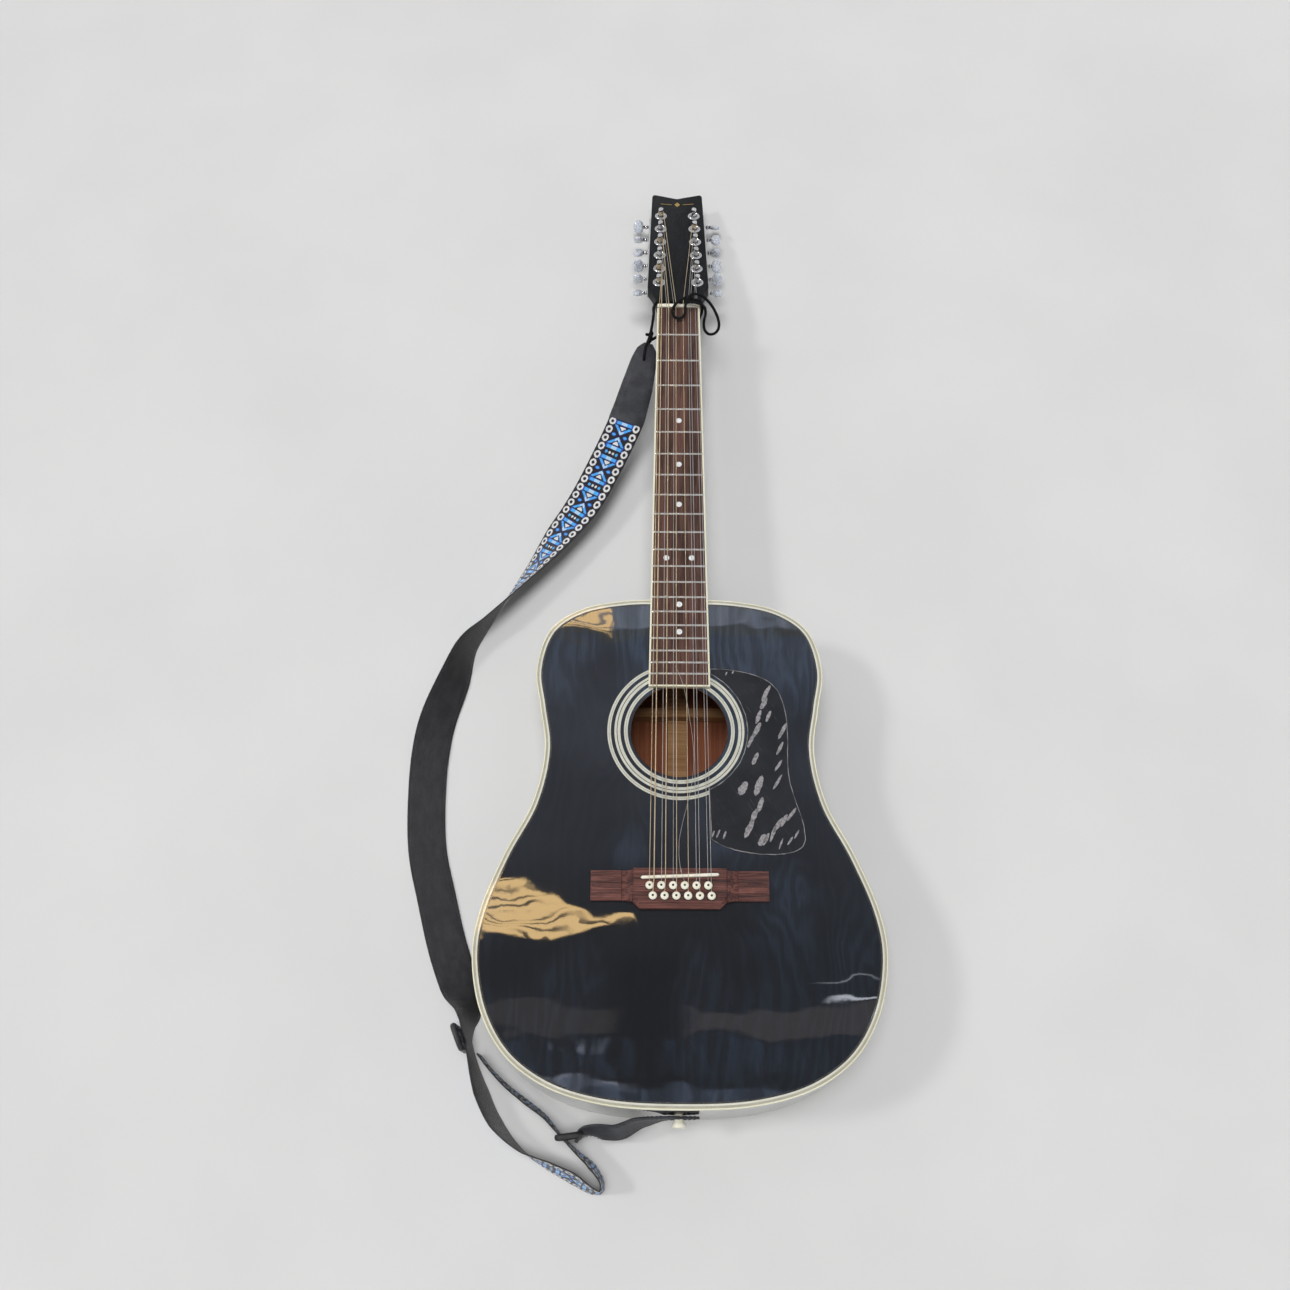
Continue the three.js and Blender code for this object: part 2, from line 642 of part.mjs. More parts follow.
// The pickguard's outer edge, from the fingerboard round to the strings' side.
function pickguard() {
  const edge = new THREE.Shape();
  const go = (x, s) => [x, along(s)];
  edge.moveTo(...go(31, 436));
  edge.bezierCurveTo(...go(55, 436), ...go(93, 440), ...go(101, 464));
  edge.bezierCurveTo(...go(112, 494), ...go(105, 520), ...go(107, 545));
  edge.bezierCurveTo(...go(110, 575), ...go(122, 590), ...go(121, 612));
  edge.bezierCurveTo(...go(120, 630), ...go(85, 628), ...go(72, 626.5));
  edge.bezierCurveTo(...go(52, 624), ...go(37, 619), ...go(29, 611));
  edge.absarc(0, along(HOLE_AT), 67.4, -1.133, 1.09, false);
  return slab(edge, GAP, 1.1);
}

function stringsAndBridge() {
  place("bridge", bridge(), rosewood);
  const saddle = bar([-37, saddleLine(-37)], [37, saddleLine(37)], 3.2, 4.4, SADDLE_TOP);
  place("saddle", saddle, bone);
  place("pickguard", pickguard(), plastic);
  COURSE_NAMES.forEach((name, i) => place(`string_course_${name}`, course(i), steel));
}

// ---- strap hardware and strap ----
function endPin() {
  const profile = [
    [0, -12], [6.5, -12], [6.5, -8], [4.6, -6], [4.6, -1], [3.8, -0.6], [3.5, 24], [0, 24],
  ].map(([r, y]) => new THREE.Vector2(r, y));
  return new THREE.LatheGeometry(profile, 12).translate(0, along(BODY_END), PIN_HEIGHT);
}

const HEAD_TAB = [
  [-33.5, 573, 76.5, 0, 10], [-35.5, 566, 75.6, 0, 22], [-38.5, 553, 73.5, 0, 29], [-46, 525, 64, 0, 36],
  [-55.9, 493.4, 53.7, 0, 40], [-58, 488, 52.2, 0, 40],
];
const TAIL_TAB = [
  [-97.6, -276.7, 24.3, 90, 38], [-94.2, -273.1, 24.4, 90, 38], [-87, -269, 27, 78, 37],
  [-76, -268, 33, 69, 36], [-57, -267, 44, 67, 35], [-36, -259, 56, 75, 34],
  [-17, -255.6, 65, 88, 32], [0, -255.3, 67, 90, 30], [12, -255.2, 67, 90, 26], [19, -255, 67, 90, 14],
];
const BAND = [
  [-58.1, 487.6, 52.1, 0, 40], [-60.9, 480.5, 50.1, 0, 40], [-80, 440, 40, 3, 40], [-105, 393, 31, 8, 40],
  [-130, 359, 26, 25, 40], [-155, 324, 22, 50, 40], [-184, 286, 21, 70, 40], [-209, 253, 20.6, 90, 40],
  [-227, 229, 19.6, 110, 40], [-240, 192, 15.5, 136, 40], [-256, 148, 9, 158, 40],
  [-262, 116, 5.2, 172, 40], [-264, 73, 2.5, 179, 40], [-260, 9, 1.8, 180, 40], [-247, -43, 1.8, 180, 40],
  [-233, -92, 2.6, 178, 40], [-219, -128, 8, 163, 40], [-209, -152, 16.6, 130, 40],
  [-207, -168, 20.5, 105, 40], [-205, -184, 20.6, 92, 40], [-200, -204, 20.6, 97, 40],
  [-190, -232, 20.6, 106, 40], [-175, -260, 20.6, 104, 40], [-151, -284, 20.6, 92, 40],
  [-124, -298, 20.6, 79, 40], [-100, -309, 20.6, 74, 40], [-81, -320, 20.6, 80, 40],
  [-73, -321, 20.6, 86, 40], [-72, -313, 20.6, 86, 40], [-82, -298, 20.6, 82, 40],
  [-95, -287, 20.6, 87, 40], [-106, -277, 20.6, 90, 40], [-117, -266, 20.6, 90, 40],
  [-128, -254, 20.6, 86, 40], [-146, -241, 20.6, 84, 40], [-166, -226, 20.6, 86, 40],
  [-184, -209, 20.6, 90, 40], [-194, -197, 20.6, 90, 40],
];

// A three-bar slider: a rounded plate with two slots, built flat and stood on edge where it belongs.
function slider(length) {
  const tall = STRAP_WIDTH + 8;
  const slot = (x) => rectangle(x - 3.3, -STRAP_WIDTH / 2 - 0.5, x + 3.3, STRAP_WIDTH / 2 + 0.5);
  const edge = new THREE.Shape();
  const [w, h, r] = [length / 2, tall / 2, 2.8];
  edge.absarc(w - r, h - r, r, 0, Math.PI / 2);
  edge.absarc(-w + r, h - r, r, Math.PI / 2, Math.PI);
  edge.absarc(-w + r, -h + r, r, Math.PI, 1.5 * Math.PI);
  edge.absarc(w - r, -h + r, r, 1.5 * Math.PI, 2 * Math.PI);
  return cut(slab(edge, -1.5, 1.5), [slab(slot(-6), -3, 3), slab(slot(6), -3, 3)]);
}

function placeSlider(name, x, y, z, heading) {
  const made = place(name, slider(28), plastic, root);
  made.position.set(x, y, z);
  made.rotation.set(Math.PI / 2, THREE.MathUtils.degToRad(heading), 0);
}

function strap() {
  const eye = cylinder(3.2, new THREE.Vector3(-38.4, 554.5, 60), new THREE.Vector3(-38.4, 554.5, 90), 10);
  place("strap_head_tab", cut(strip(HEAD_TAB, 2.4, 15), [eye]), leather, root);
  place("strap_band", strip(BAND, STRAP_THICK, 160), webbing, root);
  const pinEye = endPinHole(5.3).applyMatrix4(guitar.matrix);
  place("strap_tail_tab", cut(strip(TAIL_TAB, 2.2, 36), [pinEye]), leather, root);
  placeSlider("strap_slider", -213.5, -182, 24.3, -67);
  placeSlider("strap_ring", -101.5, -272, 24.3, -42);
  place("end_pin", endPin(), ivoroid);
}

// ---- the lace that ties the strap round the neck at the nut ----
const LACE = [
  [14, 615.5, 99.6], [20, 616, 99.6], [25, 615.2, 97], [27, 612.6, 91.4], [26.6, 609.4, 84.6],
  [23, 605, 77.2], [14, 599, 70.9], [0, 594, 69.3], [-14, 589, 70.2], [-25, 584.5, 72], [-32, 579, 71.5],
  [-36, 571, 68], [-38, 562.6, 64.9], [-38.7, 555.6, 67.6], [-38.5, 553.2, 74.2], [-38, 556.4, 80.8],
  [-36.5, 565, 83.6], [-33.8, 574, 82], [-31.5, 583, 80.5], [-29.3, 596, 81.8], [-27.9, 607, 84.8],
  [-27.6, 614, 88.3], [-22.9, 620.2, 90.5], [-15, 621, 90.1], [-5, 620.8, 89.7], [2, 620.4, 89.6],
  [7.4, 620.4, 91.6], [9.6, 619.3, 97], [6.6, 616.7, 101.8], [0.8, 613, 102.4], [-4.3, 608, 100.6],
  [-6.9, 600.4, 99.8], [-4.8, 593.9, 99.7], [0.2, 591.5, 99.7], [5.2, 593.9, 99.7], [7.3, 599.8, 99.8],
  [7.6, 608, 100.6], [10.5, 615.5, 103.4], [14.5, 619.5, 104.5], [20.5, 621.5, 102.8], [27.5, 621, 98.8],
  [34.5, 618, 92.5], [41.5, 610.5, 86], [46, 600.4, 80.4], [45.6, 592.4, 77.4], [40.8, 587, 76.2],
  [34.2, 586.8, 76.2], [29.8, 591.8, 78], [29.2, 599, 82.4], [30.6, 605, 88.5], [29.8, 608.6, 94.8],
  [25, 610.4, 99.3], [18, 611.2, 101.8], [13, 611.8, 102.6],
];

function lace() {
  const path = new THREE.CatmullRomCurve3(
    LACE.map((p) => new THREE.Vector3(...p)),
    false,
    "centripetal",
  );
  const section = new THREE.Shape(circle(LACE_RADIUS, 6));
  const made = new THREE.ExtrudeGeometry(section, { steps: 110, extrudePath: path, bevelEnabled: false });
  place("strap_lace", made, lacing, root);
}

shell();
inside();
neckParts();
tuners();
stringsAndBridge();
strap();
lace();

export default root;
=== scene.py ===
"""Looks for a twelve-string guitar with a woven strap, lying on its back on a pale floor."""
import math
import random

import bmesh
import bpy
from mathutils import Matrix, Vector


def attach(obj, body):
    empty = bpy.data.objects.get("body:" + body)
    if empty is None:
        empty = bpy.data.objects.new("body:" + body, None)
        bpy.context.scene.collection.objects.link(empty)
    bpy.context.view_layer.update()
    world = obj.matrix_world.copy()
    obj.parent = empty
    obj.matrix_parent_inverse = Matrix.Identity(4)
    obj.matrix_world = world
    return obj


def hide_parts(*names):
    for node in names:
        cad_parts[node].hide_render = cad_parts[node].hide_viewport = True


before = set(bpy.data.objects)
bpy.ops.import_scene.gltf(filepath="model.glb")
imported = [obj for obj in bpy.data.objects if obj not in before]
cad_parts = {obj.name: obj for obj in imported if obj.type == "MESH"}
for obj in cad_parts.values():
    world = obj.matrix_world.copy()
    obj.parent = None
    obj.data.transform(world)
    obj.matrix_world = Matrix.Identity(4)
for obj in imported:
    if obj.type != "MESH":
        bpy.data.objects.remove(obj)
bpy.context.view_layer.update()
scene = bpy.context.scene
scene.view_settings.view_transform = "Standard"

# ---- sizes shared with the CAD part, in millimetres ----
SCALE = 648
BODY_START, BODY_END = 359.4, 860
MIDDLE = (BODY_START + BODY_END) / 2
MID_DEPTH, ARCH, PLATE, RIM, BINDING = 109, 5, 3, 2.5, 6.2
TILT = math.atan2(22, BODY_END - BODY_START)
PURFLING, HOLE_AT, HOLE_RADIUS = 6.9, 502, 48
NUT_WIDTH, WIDENING, BOARD_END, BOARD_LOW = 47.6, 0.0309, 457.5, 0.3
BOARD_TOP, FRET_TOP, NUT_SLOT, NUT_BACK = 6.5, 7.5, 7.95, 6
FRETS, DOTTED_FRETS = 20, (5, 7, 9, 12, 15, 17)
HEAD_ANGLE = math.radians(14)
HEAD_THICK = 13.7
POST_FIRST, POST_PITCH, POST_SPREAD = 41, 24.8, (22, 19.7)
POST_RADIUS, POST_WAIST = 3, 2.4
WORM_OFFSET, WORM_DEPTH = 8, 21.5
BUTTON_AT = 46.5
GEAR_TEETH = 28
BUTTON_TURNS = (25, 70, 100, 15, 55, 130, 160, 80, 40, 110, 5, 150)
SADDLE_AT, SADDLE_TOP, SADDLE_SLANT = 650.5, 11.6, -0.042
BRIDGE_TOP, WING_TOP = 9.3, 5.5
PIN_ROWS, PIN_PITCH, PIN_FIRST = (659.7, 669.5), 11.05, (-28.7, -25.6)
SADDLE_PAIRS = (
    (-28.8, -24.5), (-17.4, -13.7), (-6.4, -3.2), (4.3, 7.9), (15.4, 18.5), (26.3, 29.3),
)
PIN_HEIGHT = -58
STRAP_WIDTH, STRAP_THICK, LACE_RADIUS = 40, 1.8, 1.6

ROW = Matrix.Scale(0.001, 4)
GUITAR = (
    ROW
    @ Matrix.Translation((0, 0, ARCH + MID_DEPTH * math.cos(TILT)))
    @ Matrix.Rotation(-TILT, 4, "X")
)
HEAD = GUITAR @ Matrix.Translation((0, MIDDLE + NUT_BACK, 1.7)) @ Matrix.Rotation(-HEAD_ANGLE, 4, "X")


def back_rim(x, y):
    return -MID_DEPTH + y * math.tan(TILT)


def board_half(s):
    return (NUT_WIDTH + WIDENING * s) / 2


def catmull(points, per_span, closed=False):
    """A centripetal Catmull-Rom curve through the points."""
    points = [Vector(p) for p in points]
    n = len(points)

    def at(i):
        if closed:
            return points[i % n]
        if i < 0:
            return points[0] * 2 - points[1]
        if i >= n:
            return points[-1] * 2 - points[-2]
        return points[i]

    out = []
    for i in range(n if closed else n - 1):
        a, b, c, d = (at(i + k) for k in (-1, 0, 1, 2))
        t0, t1, t2 = ((q - p).length ** 0.5 for p, q in ((a, b), (b, c), (c, d)))
        m1 = ((b - a) / t0 - (c - a) / (t0 + t1) + (c - b) / t1) * t1
        m2 = ((c - b) / t1 - (d - b) / (t1 + t2) + (d - c) / t2) * t1
        for k in range(per_span):
            u = k / per_span
            out.append(
                b + m1 * u + (c * 3 - b * 3 - m1 * 2 - m2) * u * u + (b * 2 - c * 2 + m1 + m2) * u ** 3
            )
    if not closed:
        out.append(points[-1])
    return out


def full_turn(steps):
    return [2 * math.pi * i / steps for i in range(steps)]


def half_turn(steps):
    return [math.pi * i / steps for i in range(steps + 1)]


def smooth(a, b, x):
    t = min(max((x - a) / (b - a), 0), 1)
    return t * t * (3 - 2 * t)


# ---- camera ----
def add_camera():
    data = bpy.data.cameras.new("camera")
    data.lens = 38.51
    data.sensor_width = 36
    data.clip_end = 20
    camera = bpy.data.objects.new("camera", data)
    scene.collection.objects.link(camera)
    forward = Vector((-0.0028, 0.34595, -0.93829)).normalized()
    right = Vector((1, 0.00719, -0.00032))
    right = (right - forward * right.dot(forward)).normalized()
    up = right.cross(forward)
    turn = Matrix((right, up, -forward)).transposed().to_4x4()
    camera.matrix_world = Matrix.Translation((-0.03084, -0.2867, 1.42325)) @ turn
    scene.camera = camera


add_camera()


# ---- materials ----
def new_node(tree, kind, inputs):
    """A shader node whose inputs are each set to a number or colour, or linked to a field or a socket."""
    node = tree.nodes.new("ShaderNode" + kind)
    for key, value in inputs.items():
        if isinstance(value, Field):
            value = value.socket
        if isinstance(value, bpy.types.NodeSocket):
            tree.links.new(value, node.inputs[key])
        else:
            node.inputs[key].default_value = value
    return node


class Field:
    """A number that varies over a surface, made of math nodes."""

    def __init__(self, tree, socket):
        self.tree = tree
        self.socket = socket

    def math(self, operation, other=None):
        node = new_node(self.tree, "Math", {0: self} if other is None else {0: self, 1: other})
        node.operation = operation
        return Field(self.tree, node.outputs[0])

    def __add__(self, other):
        return self.math("ADD", other)

    def __sub__(self, other):
        return self.math("SUBTRACT", other)

    def __mul__(self, other):
        return self.math("MULTIPLY", other)

    def __truediv__(self, other):
        return self.math("DIVIDE", other)

    def __abs__(self):
        return self.math("ABSOLUTE")

    def below(self, edge, soft=0.0):
        """1 where the field is under edge, fading over soft."""
        if not soft:
            return self.math("LESS_THAN", edge)
        return self.ramp(edge + soft, edge - soft)

    def above(self, edge, soft=0.0):
        if not soft:
            return self.math("GREATER_THAN", edge)
        return self.ramp(edge - soft, edge + soft)

    def ramp(self, low, high):
        """0 at low and 1 at high, eased."""
        span = {"From Min": min(low, high), "From Max": max(low, high)}
        ends = {"To Min": float(low > high), "To Max": float(low <= high)}
        node = new_node(self.tree, "MapRange", {"Value": self, **span, **ends})
        node.interpolation_type = "SMOOTHSTEP"
        return Field(self.tree, node.outputs["Result"])

    def either(self, *others):
        """The largest of these fields."""
        largest = self
        for other in others:
            largest = largest.math("MAXIMUM", other)
        return largest

    def wave(self, period):
        """A rise and fall between 0 and 1 once in each period."""
        return (self * (2 * math.pi / period)).math("SINE") * 0.5 + 0.5

    def repeat(self, period):
        """Distance from the middle of the nearest period, with its sign."""
        return (self / period).math("FRACT") * period - period / 2


def mix(amount, under, over):
    """A colour between two, each given as a tuple or a socket, by a field from 0 to 1."""
    under, over = ((*color, 1) if isinstance(color, tuple) else color for color in (under, over))
    node = new_node(amount.tree, "Mix", {0: amount, 6: under, 7: over})
    node.data_type = "RGBA"
    return node.outputs[2]


class Look:
    """Builds one material's nodes."""

    def __init__(self, name, color=(0.5, 0.5, 0.5), roughness=0.5, **settings):
        self.material = bpy.data.materials.new(name)
        self.material.use_nodes = True
        self.tree = self.material.node_tree
        self.shader = self.tree.nodes["Principled BSDF"]
        self.shader.inputs["Base Color"].default_value = (*color, 1)
        self.shader.inputs["Roughness"].default_value = roughness
        for key, value in settings.items():
            socket = self.shader.inputs[key.replace("_", " ").title().replace("Ior", "IOR")]
            socket.default_value = (*value, 1) if isinstance(value, tuple) else value
        self.coordinates = self.tree.nodes.new("ShaderNodeTexCoord")
        self.material.diffuse_color = (*color, 1)

    def vector(self, scale=1, turn=0.0, source="Object"):
        """Coordinates in millimetres, turned about Z and then scaled, alike or for each axis."""
        unit = 1000 if source == "Object" else 1
        if not isinstance(scale, tuple):
            scale = (scale, scale, scale)
        place = {"Vector": self.coordinates.outputs[source], "Rotation": (0, 0, turn)}
        turned = new_node(self.tree, "Mapping", place)
        stretch = new_node(self.tree, "VectorMath", {0: turned.outputs[0], 1: [unit * s for s in scale]})
        stretch.operation = "MULTIPLY"
        return stretch.outputs[0]

    def parts(self, vector):
        node = new_node(self.tree, "SeparateXYZ", {0: vector})
        return [Field(self.tree, o) for o in node.outputs]

    def noise(self, scale, detail=3.0, rough=0.5, warp=0.0, **where):
        inputs = {"Scale": 1, "Detail": detail, "Roughness": rough, "Distortion": warp}
        node = new_node(self.tree, "TexNoise", {"Vector": self.vector(scale, **where), **inputs})
        return Field(self.tree, node.outputs["Fac"])

    def cells(self, scale, **where):
        """Distance to the nearest scattered point, and that point's own random number."""
        node = new_node(self.tree, "TexVoronoi", {"Vector": self.vector(scale, **where), "Scale": 1})
        own = new_node(self.tree, "SeparateColor", {0: node.outputs["Color"]})
        return Field(self.tree, node.outputs["Distance"]), Field(self.tree, own.outputs[0])

    def color(self, socket):
        self.tree.links.new(socket, self.shader.inputs["Base Color"])
        return self

    def rough(self, field, low, high):
        scaled = field * (high - low) + low
        self.tree.links.new(scaled.socket, self.shader.inputs["Roughness"])
        return self

    def bump(self, field, height, coat=False):
        """height is in millimetres for a field that runs from 0 to 1."""
        node = new_node(self.tree, "Bump", {"Height": field, "Distance": height / 1000, "Strength": 1})
        self.tree.links.new(node.outputs[0], self.shader.inputs["Normal"])
        if coat:
            self.tree.links.new(node.outputs[0], self.shader.inputs["Coat Normal"])
        return self


def lacquer_look(name, dark, light):
    """Black lacquer over wood whose long arched grain still shows; its bluish light colour, in cloudy patches
    and stronger on the upper bout, is partly that grain and partly a painted sheen.
    """
    coat = {"coat_weight": 1.0, "coat_roughness": 0.012, "coat_ior": 1.5}
    look = Look(name, dark, 0.38, specular_ior_level=0.15, **coat)
    x, y, _ = look.parts(look.vector())
    grain_pitch = 13
    arches = look.noise((0.011, 0.005, 0.01), 2, 0.45, 0.5) * 10
    wander = look.noise((0.07, 0.012, 0.05), 3, 0.6) * 2.2
    lines = (x / grain_pitch + arches + wander).wave(1.0).math("POWER", 1.6)
    fine = look.noise((1.1, 0.015, 0.5), 3, 0.6).ramp(0.35, 0.7)
    # Painted sheen, mixed with the grain: the bluish colour shows in cloudy patches and fades from the upper
    # bout towards the tail.
    patches = look.noise((0.0085, 0.0065, 0.006), 2, 0.5).ramp(0.46, 0.62)
    upper = y.ramp(-170, 90) * 0.75 + 0.25
    amount = (lines * 0.55 + fine * 0.25 + 0.25) * (patches * 0.9 + 0.1) * upper
    look.color(mix(amount, dark, light))
    specks = look.noise(0.35, 4, 0.6)
    look.rough(specks, 0.3, 0.45)
    ripple = look.noise((0.010, 0.014, 0.012), 2, 0.4) + look.noise((0.06, 0.035, 0.06), 2, 0.5) * 0.03
    ripple += look.noise(0.7, 2, 0.5) * 0.0009
    return look.bump(ripple, 0.32, coat=True).material


def wood_look(name, dark, light, pitch, across="x", gloss=0.5, pores=0.0, **settings):
    """Straight-grained wood: streaks along Y, or along X if across is y."""
    look = Look(name, dark, gloss, **settings)
    thin, long = 1 / pitch, 1 / (pitch * 45)
    scale = (thin, long, thin) if across == "x" else (long, thin, thin)
    streaks = look.noise(scale, 5, 0.62, 0.6)
    broad = look.noise(tuple(s * 0.18 for s in scale), 2, 0.5, 0.4)
    amount = (streaks * 0.62 + broad * 0.38).ramp(0.36, 0.66)
    look.color(mix(amount, dark, light))
    fine = look.noise(tuple(s * 5 for s in scale), 2, 0.6)
    look.rough(fine, gloss * 0.8, min(gloss * 1.25, 1))
    return look.bump(fine.ramp(0.62, 0.4) * (0.3 + pores), 0.08 + 0.1 * pores).material


def plain_look(name, color, roughness, tint, mottle=0.05, relief=0.02, size=0.6, **settings):
    """A moulded, cast or polished surface: slight mottling, and a little relief."""
    look = Look(name, color, roughness, **settings)
    patches = look.noise(mottle, 3, 0.55)
    look.color(mix(patches.ramp(0.3, 0.7), color, tint))
    grain = look.noise(size, 3, 0.6)
    look.rough(grain, roughness * 0.75, min(roughness * 1.3, 1))
    return look.bump(grain, relief).material


def pickguard_look():
    """Dark matte film with faint slanted scuffs."""
    look = Look("pickguard_film", (0.018, 0.020, 0.025), 0.5, specular_ior_level=0.25)
    slant = math.radians(-32)
    scuffs = look.noise((0.9, 0.05, 0.5), 4, 0.7, turn=slant).ramp(0.6, 0.74)
    shade = look.noise(0.03, 3, 0.6).ramp(0.3, 0.7)
    base = mix(shade, (0.011, 0.012, 0.015), (0.018, 0.020, 0.025))
    look.color(mix(scuffs * 0.5, base, (0.09, 0.09, 0.10)))
    look.rough(scuffs, 0.45, 0.7)
    return look.bump(scuffs + shade * 2, 0.06).material


def string_look(name, color, tint, wound):
    """Worn metal, with the turns of its winding if it is a wound string."""
    look = Look(name, color, 0.32, metallic=1.0)
    worn = look.noise(0.03, 4, 0.65)
    look.color(mix(worn.ramp(0.35, 0.65), color, tint))
    look.rough(worn, 0.22, 0.45)
    _, v, _ = look.parts(look.vector(source="UV"))
    if wound:
        return look.bump(v.wave(0.32), 0.06).material
    return look.bump(look.noise(3, 2), 0.004).material


def jacquard_look():
    """Woven band: white rings along both edges, crosses and bars in blues down the middle."""
    look = Look("strap_jacquard", (0.02, 0.02, 0.03), 0.82, sheen_weight=0.25, sheen_roughness=0.5)
    u, v, _ = look.parts(look.vector(source="UV"))
    thread_u, thread_v = 0.5, 0.55
    repeat, start, ring_row, rings = 42.7, 2.2, 14.4, 4
    across = abs((u / thread_u).math("ROUND") * thread_u)
    down = (v / thread_v).math("ROUND") * thread_v - start
    ring_at = (down + 2.4).repeat(repeat / rings) * 0.86
    ring = ((across - ring_row) * (across - ring_row) + ring_at * ring_at).math("SQRT")
    along = abs((down + 4.2).repeat(repeat))  # from the middle of the cross
    middle = across.below(10.6)
    arm = along - across * 0.95
    chevron = arm.above(0.7) * arm.below(5.2) * along.below(11.6) * middle
    chevron_core = arm.above(1.3) * arm.below(4.6) * along.below(11.2) * across.below(9.6)
    tip = chevron_core * across.below(2.6)
    triangle = arm.above(6.6) * along.below(11.0) * across.below(3.2)
    side = along + (across - 6.9) * (across - 6.9) * 0.24
    blob = side.below(2.3) * middle
    blob_core = side.below(1.3) * middle
    bar = abs(along - 14.6).below(2.2) * middle
    bar_light = abs(along - 14.6).below(1.8) * across.below(8.6)
    bar_white = bar_light * across.below(3.2)
    dot_row = abs(along - 21.1)
    dot = (dot_row * dot_row + (across - 2.1) * (across - 2.1)).below(1.7)
    dot_outer = (dot_row * dot_row + (across - 6.4) * (across - 6.4)).below(2.4)
    white = (ring.above(1.75) * ring.below(3.85)).either(triangle, dot)
    pale = tip.either(bar_white)
    light = chevron_core.either(bar_light, blob_core, dot_outer)
    blue = chevron.either(bar, blob)
    flecks = look.noise((0.6, 0.9, 1), 2, 0.7, source="UV").ramp(0.5, 0.72)
    ground = mix(flecks, (0.007, 0.006, 0.010), (0.05, 0.014, 0.02))
    painted = mix(blue, ground, (0.030, 0.105, 0.52))
    painted = mix(light, painted, (0.085, 0.44, 0.95))
    painted = mix(pale, painted, (0.52, 0.72, 0.92))
    painted = mix(white, painted, (0.80, 0.80, 0.80))
    shade = look.noise((0.05, 0.02, 1), 3, 0.6, source="UV").ramp(0.2, 0.8)
    look.color(mix(shade * 0.18, painted, (0.02, 0.03, 0.06)))
    weave = u.wave(thread_u) * v.wave(thread_v) + white * 0.5 + light * 0.3
    return look.bump(weave, 0.16).material


def backing_look():
    """Black satin lining with a hem line near each edge."""
    look = Look("strap_backing", (0.013, 0.013, 0.015), 0.55, sheen_weight=0.3, sheen_roughness=0.35)
    u, v, _ = look.parts(look.vector(source="UV"))
    hem = abs(abs(u) - 17.2).below(0.35, 0.12)
    stitch = hem * v.wave(2.6).above(0.35, 0.2)
    folds = look.noise((0.02, 0.11, 1), 3, 0.6, source="UV")
    worn = look.noise((0.12, 0.05, 1), 4, 0.65, source="UV")
    look.color(mix(worn.ramp(0.3, 0.75), (0.010, 0.010, 0.012), (0.026, 0.026, 0.030)))
    look.rough(worn, 0.42, 0.7)
    twill = (u + v).wave(0.7) * 0.12
    return look.bump(folds * 1.6 + twill - stitch * 0.6 - hem * 0.25, 0.55).material


def leather_look(name, color, tint):
    """Pebbled leather with soft dents."""
    look = Look(name, color, 0.5)
    distance, own = look.cells(0.9)
    soft = look.noise(0.06, 3, 0.6)
    look.color(mix(soft.ramp(0.3, 0.75), color, tint))
    look.rough(distance, 0.42, 0.68)
    return look.bump(distance * 0.7 + soft * 2.2, 0.14).material


def lace_look():
    """Two crossing sets of strands round a cord, darker in the hollows of the braid and lighter on its
    crowns, which is painted shade.
    """
    look = Look("lace_braid", (0.008, 0.008, 0.009), 0.85, specular_ior_level=0.2)
    u, v, _ = look.parts(look.vector(source="UV"))
    left = (u * 3 + v / 2.1).math("FRACT")
    right = (u * 3 - v / 2.1).math("FRACT")
    braid = abs(left - 0.5) + abs(right - 0.5)
    # The colour follows the braid's relief: painted shade in its hollows.
    look.color(mix(braid.ramp(0.2, 0.9), (0.003, 0.003, 0.0035), (0.014, 0.014, 0.015)))
    return look.bump(braid, 0.25).material


def pearl_look():
    """Pearly plastic with a silvery back."""
    look = Look("button_pearl", (0.66, 0.70, 0.76), 0.25, metallic=0.65, coat_weight=0.8, coat_roughness=0.06)
    swirl = look.noise((0.22, 0.16, 0.22), 3, 0.55, 2.2)
    bands = (swirl * 5).math("FRACT").ramp(0.1, 0.95)
    look.color(mix(bands, (0.46, 0.51, 0.60), (0.82, 0.85, 0.90)))
    return look.rough(bands, 0.18, 0.35).bump(bands, 0.05).material


COAT = {"coat_weight": 0.8, "coat_roughness": 0.04}
THIN_COAT = {"coat_weight": 0.5, "coat_roughness": 0.08}
LACQUER = lacquer_look("lacquer_black", (0.0048, 0.0058, 0.0076), (0.028, 0.040, 0.062))
LACQUER_SIDE = lacquer_look("lacquer_side", (0.0035, 0.004, 0.005), (0.010, 0.012, 0.016))
LACQUER_BACK = lacquer_look("lacquer_back", (0.004, 0.004, 0.0045), (0.013, 0.013, 0.015))
HEAD_BLACK = wood_look(
    "headstock_black", (0.0055, 0.006, 0.0068), (0.014, 0.015, 0.018), 2.2, specular_ior_level=0.12
)
NECK_BLACK = plain_look(
    "neck_black", (0.006, 0.0065, 0.0075), 0.28, (0.012, 0.013, 0.015), 0.02, 0.01, 0.3,
    coat_weight=0.8, coat_roughness=0.06,
)
SPRUCE = wood_look("spruce_bare", (0.30, 0.165, 0.075), (0.50, 0.32, 0.16), 1.3)
BRACE = wood_look("brace_spruce", (0.21, 0.105, 0.047), (0.34, 0.20, 0.098), 1.4, across="y")
MAHOGANY = wood_look(
    "mahogany_inside", (0.125, 0.038, 0.019), (0.215, 0.078, 0.038), 3.0, gloss=0.42, pores=0.5
)
ROSEWOOD = wood_look(
    "rosewood_board", (0.036, 0.018, 0.015), (0.150, 0.074, 0.058), 1.9, pores=0.8, specular_ior_level=0.35
)
BRIDGE_WOOD = wood_look(
    "rosewood_bridge", (0.028, 0.011, 0.011), (0.24, 0.092, 0.074), 1.2, across="y", gloss=0.42, pores=0.8
)
